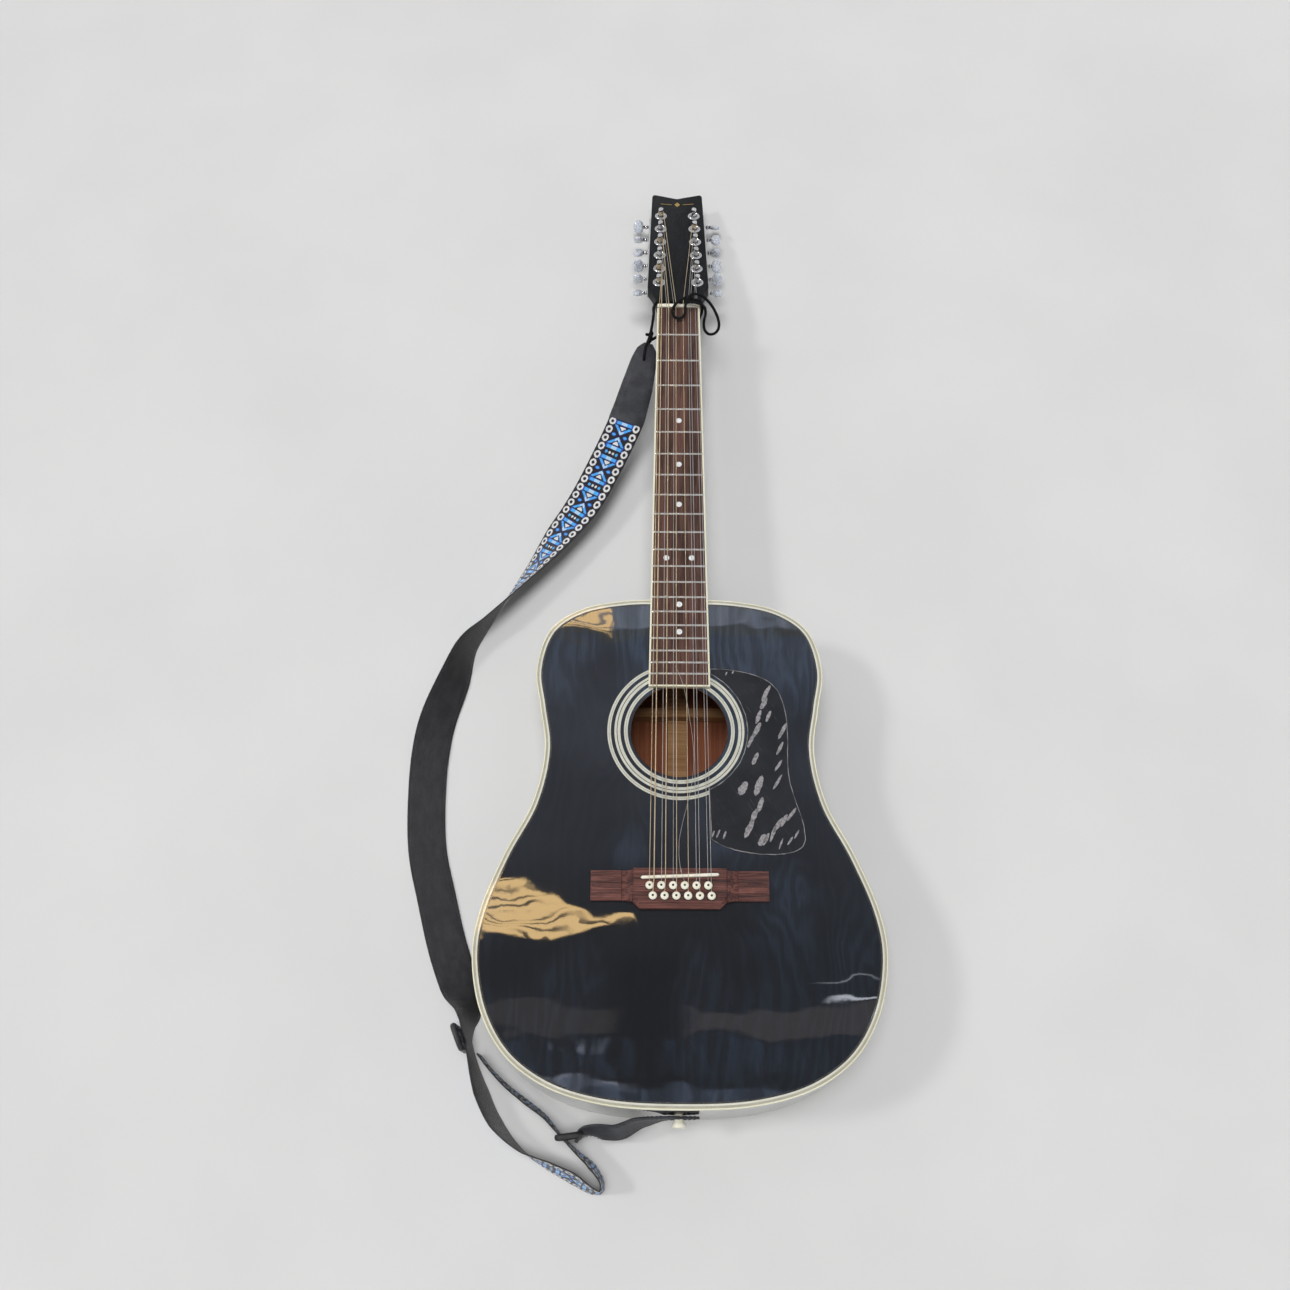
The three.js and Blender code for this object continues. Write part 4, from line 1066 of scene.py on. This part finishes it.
def make_pins():
    """Round-headed pins with a dark dot, each in a dark ring of painted shade where its hole is."""
    pins = Shape()
    head = [
        (2.6, -2), (2.6, 0.4), (3.4, 0.7), (3.95, 1.3), (4.0, 2.0), (3.7, 2.7), (2.9, 3.3), (1.6, 3.62),
        (0.01, 3.68),
    ]
    for row, s in enumerate(PIN_ROWS):
        for course in range(6):
            at = Matrix.Translation((PIN_FIRST[row] + course * PIN_PITCH, MIDDLE - s, BRIDGE_TOP))
            pins.lathe(head, 28, 0, at)
            pins.lathe([(1.15, 3.3), (1.15, 3.72), (0.01, 3.78)], 16, 1, at)
            # A thin black disc under each head, painted shade for the gap round the pin in its hole.
            pins.lathe([(4.5, -0.3), (4.5, 0.03), (0.01, 0.03)], 24, 1, at)
    pins.piece("bridge_pins", [IVORY, JET], angle=45)


# What is left of the broken string: x, distance from the nut, and height.
BROKEN_PATH = [
    (4.4, 655.9, 10.3), (3.4, 653.5, 12.4), (1, 646, 13.2), (-1, 632, 14), (-0.5, 616, 14.4),
    (2.6, 600, 14.6), (8, 578, 15), (12, 558, 15.4), (13.6, 536, 15.6), (12.8, 518, 15.4), (9.8, 495, 14.8),
    (6, 470, 14), (1.4, 452, 13.4), (-4.4, 438, 13.2),
]
COURSE_NAMES = ("low_e", "a", "d", "g", "b", "high_e")
to_guitar = GUITAR.inverted() @ HEAD


def string_path(course, member, saddle_x, nut_x, post):
    """From the bridge pin over the saddle and the nut to the side of its post."""
    radius = STRING_RADII[course][member]
    saddle_s = SADDLE_AT + SADDLE_SLANT * saddle_x
    side, post_x, post_y = POSTS[post]
    end = to_guitar @ Vector((post_x - side * (POST_WAIST + radius), post_y, 6.1))
    over, nut_over = SADDLE_TOP + radius, NUT_SLOT + radius
    pin_x = PIN_FIRST[member] + course * PIN_PITCH
    pin_s = PIN_ROWS[member] - 3.2
    bends = (
        (pin_x, pin_s + 1.5, BRIDGE_TOP - 0.8), (pin_x, pin_s, BRIDGE_TOP + 0.5),
        (saddle_x, saddle_s + 1.6, over - 0.55), (saddle_x, saddle_s, over),
        (saddle_x, saddle_s - 1.6, over - 0.02),
        (nut_x, 0.6, nut_over + 0.03), (nut_x, -3, nut_over), (nut_x, -5.2, nut_over - 1.2),
    )
    return [(x, MIDDLE - s, z) for x, s, z in bends] + [tuple(end)]


def make_strings():
    for course, name in enumerate(COURSE_NAMES):
        made = Shape()
        for _, member, saddle_x, nut_x, post in (row for row in STRINGS if row[0] == course):
            string = (course, member)
            if string == BROKEN_STRING:
                path = catmull([(x, MIDDLE - s, z) for x, s, z in BROKEN_PATH], 6)
            else:
                path = string_path(course, member, saddle_x, nut_x, post)
            made.tube(path, STRING_RADII[course][member], 8, 0 if string in WOUND else 1)
        node = f"string_course_{name}"
        made.piece(f"strings_{name}", [BRONZE, SILVER], stands_for=node, angle=60)


make_bridge()
make_saddle()
make_pins()
make_strings()


# ---- pickguard ----
def cubic(a, b, c, d, steps=14):
    a, b, c, d = (Vector(p) for p in (a, b, c, d))
    out = []
    for i in range(steps):
        t = i / steps
        out.append(a * (1 - t) ** 3 + b * 3 * t * (1 - t) ** 2 + c * 3 * t * t * (1 - t) + d * t ** 3)
    return out


def make_pickguard():
    """A thin film, cut round the rosette on its left and curved on its other sides."""
    ends = [(31, 436), (101, 464), (107, 545), (121, 612), (72, 626.5), (29, 611)]
    pulls = [
        ((55, 436), (93, 440)), ((112, 494), (105, 520)), ((110, 575), (122, 590)), ((120, 630), (85, 628)),
        ((52, 624), (37, 619)),
    ]
    edge = []
    for a, (b, c), d in zip(ends, pulls, ends[1:]):
        edge += [Vector((p.x, MIDDLE - p.y)) for p in cubic(a, b, c, d)]
    inner_radius, arc_from, arc_to = 67.4, -1.133, 1.09
    for i in range(41):
        a = arc_from + (arc_to - arc_from) * i / 40
        edge.append(Vector((inner_radius * math.cos(a), MIDDLE - HOLE_AT + inner_radius * math.sin(a))))
    edge.reverse()
    rng = random.Random(5)
    wavy = [(p.x + rng.uniform(-0.25, 0.25), p.y + rng.uniform(-0.25, 0.25)) for p in edge]
    guard = Shape()
    inner = shrink(wavy, 0.7)
    filled(guard, [inner], 1.0, 0)
    loops = [[(*p, 0.3) for p in wavy], [(*p, 0.85) for p in wavy], [(*p, 1.0) for p in inner]]
    guard.loft(loops, 1, (True, False))
    weld(guard.piece("pickguard_film", [FILM, FILM_EDGE], stands_for="pickguard", angle=30))


# Where the film has peeled, in lines of slivers: x and distance from the nut of the first and the last
# sliver, how many there are, and their length and width.
PEEL_LINES = [
    ((87, 462), (72, 512), 5, 17, 4.5), ((90, 486), (74, 532), 2, 13, 4), ((101, 503), (95, 555), 4, 17, 3.5),
    ((62, 561), (77, 559), 2, 20, 7), ((79, 577), (66, 601), 3, 18, 5), ((108, 586), (84, 612), 5, 17, 4),
    ((112, 607), (98, 617), 3, 12, 2.2), ((80, 612), (80, 612), 1, 17, 6), ((33, 607), (42, 609), 3, 8, 2.2),
    ((47, 440), (54, 440), 2, 5, 1.6),
]
PEEL_SLANT = 62


def make_peels():
    """Slivers of lifted film, a little above the guard, with ragged outlines."""
    rng = random.Random(11)
    peels = Shape()
    for first, last, count, usual_length, usual_width in PEEL_LINES:
        for i in range(count):
            share = i / max(count - 1, 1)
            x, s = (a + (b - a) * share + rng.uniform(-1.5, 1.5) for a, b in zip(first, last))
            length = usual_length * rng.uniform(0.75, 1.2)
            width = usual_width * rng.uniform(0.75, 1.2)
            turn = math.radians(PEEL_SLANT + rng.uniform(-9, 9))
            edge = []
            for a in full_turn(22):
                far, wide = rng.uniform(0.94, 1.04), rng.uniform(0.78, 1.12)
                edge.append((length / 2 * far * math.cos(a), width / 2 * wide * math.sin(a)))
            rings = [[(*p, 0.98) for p in edge], [(*p, 1.08) for p in shrink(edge, 0.12)]]
            at = Matrix.Translation((x, MIDDLE - s, 0)) @ Matrix.Rotation(turn, 4, "Z")
            peels.loft(rings, at=at)
    peels.piece("pickguard_peels", PEELED, angle=20)


make_pickguard()
make_peels()


# ---- end pin ----
def make_end_pin():
    """A turned pin with a groove for the strap's tab and a tapered stem."""
    pin = Shape()
    profile = [
        (0.01, -12), (4.6, -12), (6.0, -11.4), (6.5, -10.2), (6.5, -8.6), (5.9, -7.2), (4.7, -6.0), (4.3, -4),
        (4.6, -1.2), (3.8, -0.6), (3.5, 24), (0.01, 24),
    ]
    at = Matrix.Translation((0, MIDDLE - BODY_END, PIN_HEIGHT)) @ Matrix.Rotation(-math.pi / 2, 4, "X")
    pin.lathe(profile, 32, 0, at)
    pin.piece("end_pin_turned", IVORY, stands_for="end_pin", angle=50)


make_end_pin()


# ---- strap ----
# Stations of x, y, height and roll in degrees, and for the tabs also the width, in the frame of the floor.
HEAD_TAB = [
    (-33.5, 573, 76.5, 0, 10), (-35.5, 566, 75.6, 0, 22), (-38.5, 553, 73.5, 0, 29), (-46, 525, 64, 0, 36),
    (-55.9, 493.4, 53.7, 0, 40), (-58.7, 486.2, 51.75, 0, 40),
]
TAIL_TAB = [
    (-97.6, -276.7, 24.3, 90, 38), (-94.2, -273.1, 24.4, 90, 38), (-87, -269, 27, 78, 37),
    (-76, -268, 33, 69, 36), (-57, -267, 44, 67, 35), (-36, -259, 56, 75, 34), (-17, -255.6, 65, 88, 32),
    (0, -255.3, 67, 90, 30), (12, -255.2, 67, 90, 26), (19, -255, 67, 90, 14),
]
BAND = [
    (-58.1, 487.6, 52.1, 0), (-60.9, 480.5, 50.1, 0), (-80, 440, 40, 3), (-105, 393, 31, 8),
    (-130, 359, 26, 25), (-155, 324, 22, 50), (-184, 286, 21, 70), (-209, 253, 20.6, 90),
    (-227, 229, 19.6, 110), (-240, 192, 15.5, 136), (-256, 148, 9, 158), (-262, 116, 5.2, 172),
    (-264, 73, 2.5, 179), (-260, 9, 1.8, 180), (-247, -43, 1.8, 180), (-233, -92, 2.6, 178),
    (-219, -128, 8, 163), (-209, -152, 16.6, 130), (-207, -168, 20.5, 105), (-205, -184, 20.6, 92),
    (-200, -204, 20.6, 97), (-190, -232, 20.6, 106), (-175, -260, 20.6, 104), (-151, -284, 20.6, 92),
    (-124, -298, 20.6, 79), (-100, -309, 20.6, 74), (-81, -320, 20.6, 80), (-73, -321, 20.6, 86),
    (-72, -313, 20.6, 86), (-82, -298, 20.6, 82), (-95, -287, 20.6, 87), (-106, -277, 20.6, 90),
    (-117, -266, 20.6, 90), (-128, -254, 20.6, 86), (-146, -241, 20.6, 84), (-166, -226, 20.6, 86),
    (-184, -209, 20.6, 90), (-194, -197, 20.6, 90),
]


def strip_frames(stations, per_span):
    """Centre, direction across, direction out, width and distance along, at each step."""
    path = catmull([row[:3] for row in stations], per_span)
    frames, length = [], 0.0
    for k, centre in enumerate(path):
        i = min(k // per_span, len(stations) - 2)
        blend = k / per_span - i
        a, b = stations[i], stations[i + 1]
        roll = math.radians(a[3] + (b[3] - a[3]) * blend)
        width = a[4] + (b[4] - a[4]) * blend if len(a) > 4 else STRAP_WIDTH
        ahead = (path[min(k + 1, len(path) - 1)] - path[max(k - 1, 0)]).normalized()
        side = Vector((-ahead.y, ahead.x, 0)).normalized()
        up = ahead.cross(side).normalized()
        across = side * math.cos(roll) + up * math.sin(roll)
        out = up * math.cos(roll) - side * math.sin(roll)
        if k:
            length += (centre - path[k - 1]).length
        frames.append((centre, across, out, width, length))
    return frames


def strip_ring(step, shares, thickness, thin_edge, inset=0.0, ripple=0.0):
    """The section of a strip: its face from edge to edge, and back along its other side."""
    centre, across, out, width, _ = step
    ring = []
    for sign, order in ((1, shares), (-1, shares[::-1])):
        for share in order:
            half = thickness / 2 * (thin_edge if abs(share) == 1 else 1)
            wave = ripple * math.sin(step[4] / 19 + share * 2.2) * abs(share)
            ring.append(centre + across * (share * (width / 2 - inset)) + out * (sign * half + wave))
    return ring


def make_band():
    steps = 12
    frames = strip_frames(BAND, 6)
    shares = [-1 + 2 * i / steps for i in range(steps + 1)]
    loops = [strip_ring(step, shares, STRAP_THICK, 0.55, 0.2, 0.175) for step in frames]
    uvs = [(share * STRAP_WIDTH / 2, step[4]) for step in frames for share in shares + shares[::-1]]
    looks = [0 if i < steps else 1 for i in range(len(loops[0]))]
    band = Shape(ROW)
    band.loft(loops, looks, uvs=uvs)
    made = band.piece("strap_webbing", [JACQUARD, BACKING], stands_for="strap_band", angle=60)
    flat = (STRAP_WIDTH / 1000, frames[-1][4] / 1000)


def make_tab(name, stations, thickness, node):
    """A leather tab with a row of stitches near each edge, on both of its faces."""
    frames = strip_frames(stations, 6)
    shares = [-1, -0.96, -0.5, 0, 0.5, 0.96, 1]
    tab = Shape(ROW)
    tab.loft([strip_ring(step, shares, thickness, 0.6) for step in frames])
    tab.piece(name, LEATHER, stands_for=node, angle=60)
    stitches = Shape(ROW)
    margin, pitch, seam_inset, lift_mid = 4, 3.4, 2.6, 0.2
    total = frames[-1][4]
    for side in (-1, 1):
        place = margin
        while place < total - margin:
            centre, across, out, width, _ = min(frames, key=lambda step: abs(step[4] - place))
            ahead = across.cross(out)
            for face in (-1, 1):
                seam = across * (side * (width / 2 - seam_inset))
                spot = centre + seam + out * (face * (thickness / 2 + 0.05))
                rise = out * face * lift_mid
                bends = ((-1.1, 0), (-0.6, 1), (0.6, 1), (1.1, 0))
                stitches.tube([spot + ahead * along + rise * up for along, up in bends], 0.28, 6)
            place += pitch
    stitches.piece(name + "_stitches", THREAD, angle=60)


def make_slider(name, node, x, y, heading):
    """A moulded frame with a middle bar, rounded all over, standing on its end."""
    across = Vector((math.cos(math.radians(heading)), math.sin(math.radians(heading)), 0))
    face = Vector((across.y, -across.x, 0))
    place = Matrix((across, Vector((0, 0, 1)), face)).transposed().to_4x4()
    shape = Shape(ROW @ Matrix.Translation((x, y, SLIDER_HEIGHT)) @ place)
    half_w, half_h, corner, wide, deep = 11.9, 22.0, 5.0, 2.1, 2.9
    turns = full_turn(12)
    middle = []
    for cx, cy, start in ((1, 1, 0), (-1, 1, 90), (-1, -1, 180), (1, -1, 270)):
        for step in range(7):
            a = math.radians(start + step * 15)
            reach_x, reach_y = corner * math.cos(a), corner * math.sin(a)
            middle.append((cx * (half_w - corner) + reach_x, cy * (half_h - corner) + reach_y))
    loops = []
    for before, p, after in zip(middle[-1:] + middle, middle, middle[1:] + middle[:1]):
        ahead = (Vector(after) - Vector(before)).normalized()
        outward = Vector((ahead.y, -ahead.x, 0)) * wide
        loops.append([Vector((*p, deep * math.sin(a))) + outward * math.cos(a) for a in turns])
    shape.loft(loops, ring=True)
    rod = []
    for along, share in ((-21.5, 0.7), (-10, 1), (0, 1), (10, 1), (21.5, 0.7)):
        rod.append([(2.5 * share * math.cos(a), along, 1.9 * share * math.sin(a)) for a in turns])
    shape.loft(rod)
    shape.piece(name, MOULDED, stands_for=node, angle=60)


SLIDER_HEIGHT = 24.3
make_slider("slider_upper", "strap_slider", -213.5, -182, -67)
make_slider("slider_lower", "strap_ring", -103.0, -271.5, 8)
make_band()
make_tab("head_tab_leather", HEAD_TAB, 2.4, "strap_head_tab")
make_tab("tail_tab_leather", TAIL_TAB, 2.2, "strap_tail_tab")


# ---- lace ----
LACE = [
    (14, 615.5, 99.6), (20, 616, 99.6), (25, 615.2, 97), (27, 612.6, 91.4), (26.6, 609.4, 84.6),
    (23, 605, 77.2), (14, 599, 70.9), (0, 594, 69.3), (-14, 589, 70.2), (-25, 584.5, 72), (-32, 579, 71.5),
    (-36, 571, 68), (-38, 562.6, 64.9), (-38.7, 555.6, 67.6), (-38.5, 553.2, 74.2), (-38, 556.4, 80.8),
    (-36.5, 565, 83.6), (-33.8, 574, 82), (-31.5, 583, 80.5), (-29.3, 596, 81.8), (-27.9, 607, 84.8),
    (-27.6, 614, 88.3), (-22.9, 620.2, 90.5), (-15, 621, 90.1), (-5, 620.8, 89.7), (2, 620.4, 89.6),
    (7.4, 620.4, 91.6), (9.6, 619.3, 97), (6.6, 616.7, 101.8), (0.8, 613, 102.4), (-4.3, 608, 100.6),
    (-6.9, 600.4, 99.8), (-4.8, 593.9, 99.7), (0.2, 591.5, 99.7), (5.2, 593.9, 99.7), (7.3, 599.8, 99.8),
    (7.6, 608, 100.6), (10.5, 615.5, 103.4), (14.5, 619.5, 104.5), (20.5, 621.5, 102.8), (27.5, 621, 98.8),
    (34.5, 618, 92.5), (41.5, 610.5, 86), (46, 600.4, 80.4), (45.6, 592.4, 77.4), (40.8, 587, 76.2),
    (34.2, 586.8, 76.2), (29.8, 591.8, 78), (29.2, 599, 82.4), (30.6, 605, 88.5), (29.8, 608.6, 94.8),
    (25, 610.4, 99.3), (18, 611.2, 101.8), (13, 611.8, 102.6),
]


def knot(name, x, y, z, size, turn):
    """A small overhand knot drawn tight."""
    path = []
    for i in range(73):
        t = 2 * math.pi * i / 72
        round_x = math.sin(t) + 1.1 * math.sin(2 * t)
        round_y = math.cos(t) - 1.1 * math.cos(2 * t)
        path.append((size * round_x * 0.5, size * round_y * 0.5, size * -0.45 * math.sin(3 * t)))
    shape = Shape(ROW @ Matrix.Translation((x, y, z)) @ Matrix.Rotation(math.radians(turn), 4, "Z"))
    shape.tube(path, LACE_RADIUS, 10)
    return shape.piece(name, BRAID, angle=80)


def make_lace():
    path = catmull(LACE, 6)
    shape = Shape(ROW)
    shape.tube(path, LACE_RADIUS, 12)
    made = shape.piece("lace_cord", BRAID, stands_for="strap_lace", angle=80)
    length = sum((b - a).length for a, b in zip(path, path[1:])) / 1000
    at_side = knot("lace_knot_side", -32, 583, 79, 3.6, 20)
    on_top = knot("lace_knot_top", 11.5, 615.5, 101.2, 3.8, 100)
    [tuple(p / 1000) for p in path]


make_lace()


# ---- floor, light and surroundings ----
def make_stage():
    """A pale floor with faint clouds in its colour."""
    look = Look("floor_pale", (0.66, 0.66, 0.66), 0.6)
    cloud = look.noise(0.004, 3, 0.55)
    look.color(mix(cloud.ramp(0.3, 0.7), (0.64, 0.64, 0.64), (0.67, 0.67, 0.67)))
    look.rough(cloud, 0.5, 0.7)
    mesh = bpy.data.meshes.new("floor")
    reach = 6
    corners = [(-reach, -reach, 0), (reach, -reach, 0), (reach, reach, 0), (-reach, reach, 0)]
    mesh.from_pydata(corners, [], [(0, 1, 2, 3)])
    mesh.materials.append(look.material)
    floor = bpy.data.objects.new("floor", mesh)
    scene.collection.objects.link(floor)


# What the lacquer mirrors, as places on a plane overhead at height 1: u from and to, v from and to, the
# softness of the edges in u and v, how far upright streaks and the plain patch show, and the colour.
LIT_THINGS = [
    (-0.022, 0.022, -0.02, 0.225, 0.004, 0.01, 0, 1, (0.09, 0.09, 0.10)),
    (-0.15, 0.14, 0.4885, 0.53, 0.004, 0.002, 0.4, 0.6, (2.3, 2.5, 2.9)),
    (-0.15, 0.14, 0.4805, 0.4885, 0.004, 0.002, 0, 1, (0.62, 0.58, 0.40)),
    (0.028, 0.18, 0.166, 0.186, 0.01, 0.002, 0, 1, (0.66, 0.58, 0.56)),
    (-0.16, -0.022, 0.168, 0.188, 0.01, 0.002, 0, 1, (0.50, 0.45, 0.44)),
    (-0.16, 0.18, 0.140, 0.163, 0.01, 0.003, 1, 0, (0.26, 0.36, 0.56)),
    (-0.07, -0.026, 0.155, 0.162, 0.012, 0.003, 1, 0, (2.0, 2.2, 2.8)),
    (-0.12, -0.012, 0.1280, 0.1350, 0.012, 0.002, 0.8, 0.2, (3.2, 3.5, 4.4)),
    (-0.16, 0.18, 0.110, 0.1325, 0.012, 0.002, 0.6, 0.3, (1.0, 1.3, 1.9)),
    (0.122, 0.168, 0.2056, 0.2070, 0.012, 0.0006, 0, 1, (3.6, 3.8, 4.2)),
    (0.132, 0.168, 0.1885, 0.1912, 0.009, 0.0008, 0, 1, (9, 9.4, 10.5)),
]
ROOM_ON_MATTE = 0.4


def make_world():
    """A bright room with a dark ceiling, in which a few lit things show in the lacquer."""
    world = bpy.data.worlds.new("room")
    scene.world = world
    world.use_nodes = True
    tree = world.node_tree
    where = new_node(tree, "TexCoord", {})
    split = new_node(tree, "SeparateXYZ", {0: where.outputs["Generated"]})
    x, y, z = (Field(tree, o) for o in split.outputs)
    u, v = x / z.math("MAXIMUM", 0.05), y / z.math("MAXIMUM", 0.05)

    def streaks(scale_u, scale_v, low, high):
        place = new_node(tree, "CombineXYZ", {0: u * scale_u, 1: v * scale_v})
        node = new_node(tree, "TexNoise", {"Vector": place.outputs[0], "Scale": 1, "Detail": 3})
        return Field(tree, node.outputs["Fac"]).ramp(low, high)

    def zone(u0, u1, v0, v1, soft_u, soft_v):
        return u.above(u0, soft_u) * u.below(u1, soft_u) * v.above(v0, soft_v) * v.below(v1, soft_v)

    wobble = streaks(13, 30, 0.2, 0.8)
    gaps = streaks(16, 60, 0.38, 0.52)
    warm = (v * 175 + wobble * 2.8).math("FRACT").below(0.34, 0.08) * gaps * -0.9 + 1
    upright = streaks(90, 14, 0.42, 0.66)
    ceiling = zone(-0.30, 0.30, -0.02, 0.62, 0.08, 0.08) * z.above(0.3, 0.1)
    cloudy = streaks(7, 9, 0.35, 0.65)
    overhead = mix(v.ramp(0.20, 0.40) * (cloudy * 0.5 + 0.5), (0.13, 0.135, 0.15), (0.62, 0.68, 0.86))
    color = mix(ceiling, (0.68, 0.68, 0.685), overhead)
    for *place, streaked, plain, glow in LIT_THINGS:
        color = mix(zone(*place) * (upright * streaked + plain), color, glow)
    color = mix(zone(-0.16, -0.0315, 0.4855, 0.5045, 0.001, 0.0012) * warm, color, (15, 10, 4.4))
    high = (u * -0.5 + 0.2329).math("MAXIMUM", 0.254).math("MINIMUM", 0.276)
    low = (u * 0.178 + 0.2504).math("MAXIMUM", 0.241)
    edge = 0.0012
    wedge = u.above(-0.16, 0.001) * u.below(-0.0075, edge)
    wedge = wedge * (high - v).above(0, edge) * (v - low).above(0, edge)
    color = mix(wedge * warm, color, (15.5, 10.5, 4.7))
    background = tree.nodes["Background"]
    tree.links.new(color, background.inputs["Color"])
    rays = new_node(tree, "LightPath", {})
    strength = Field(tree, rays.outputs["Is Diffuse Ray"]) * (ROOM_ON_MATTE - 1) + 1
    tree.links.new(strength.socket, background.inputs["Strength"])


def sun_light(name, direction, strength, spread, color, in_gloss=True):
    """A distant light whose disc is spread degrees wide. in_gloss says if shiny surfaces mirror it."""
    data = bpy.data.lights.new(name, "SUN")
    data.energy = strength
    data.angle = math.radians(spread)
    data.color = color
    lamp = bpy.data.objects.new(name, data)
    lamp.rotation_euler = Vector(direction).to_track_quat("-Z", "Y").to_euler()
    lamp.visible_glossy = in_gloss
    scene.collection.objects.link(lamp)


def box_lamp():
    """A faint warm light in the sound box, on the treble side of the hole and below the top."""
    data = bpy.data.lights.new("inside", "POINT")
    data.energy = 0.025
    data.shadow_soft_size = 0.02
    data.color = (1.0, 0.86, 0.70)
    lamp = bpy.data.objects.new("inside", data)
    beside, beyond, below = 34, 66, 26
    lamp.location = GUITAR @ Vector((beside, MIDDLE - HOLE_AT - beyond, -below))
    lamp.visible_camera = False
    lamp.visible_glossy = False
    scene.collection.objects.link(lamp)


make_stage()
make_world()
box_lamp()
sun_light("key", (0.80, -0.05, -1), 0.60, 8, (1.0, 0.985, 0.96))
sun_light("overhead", (0.05, 0.03, -1), 2.12, 24, (1.0, 1.0, 1.0), in_gloss=False)
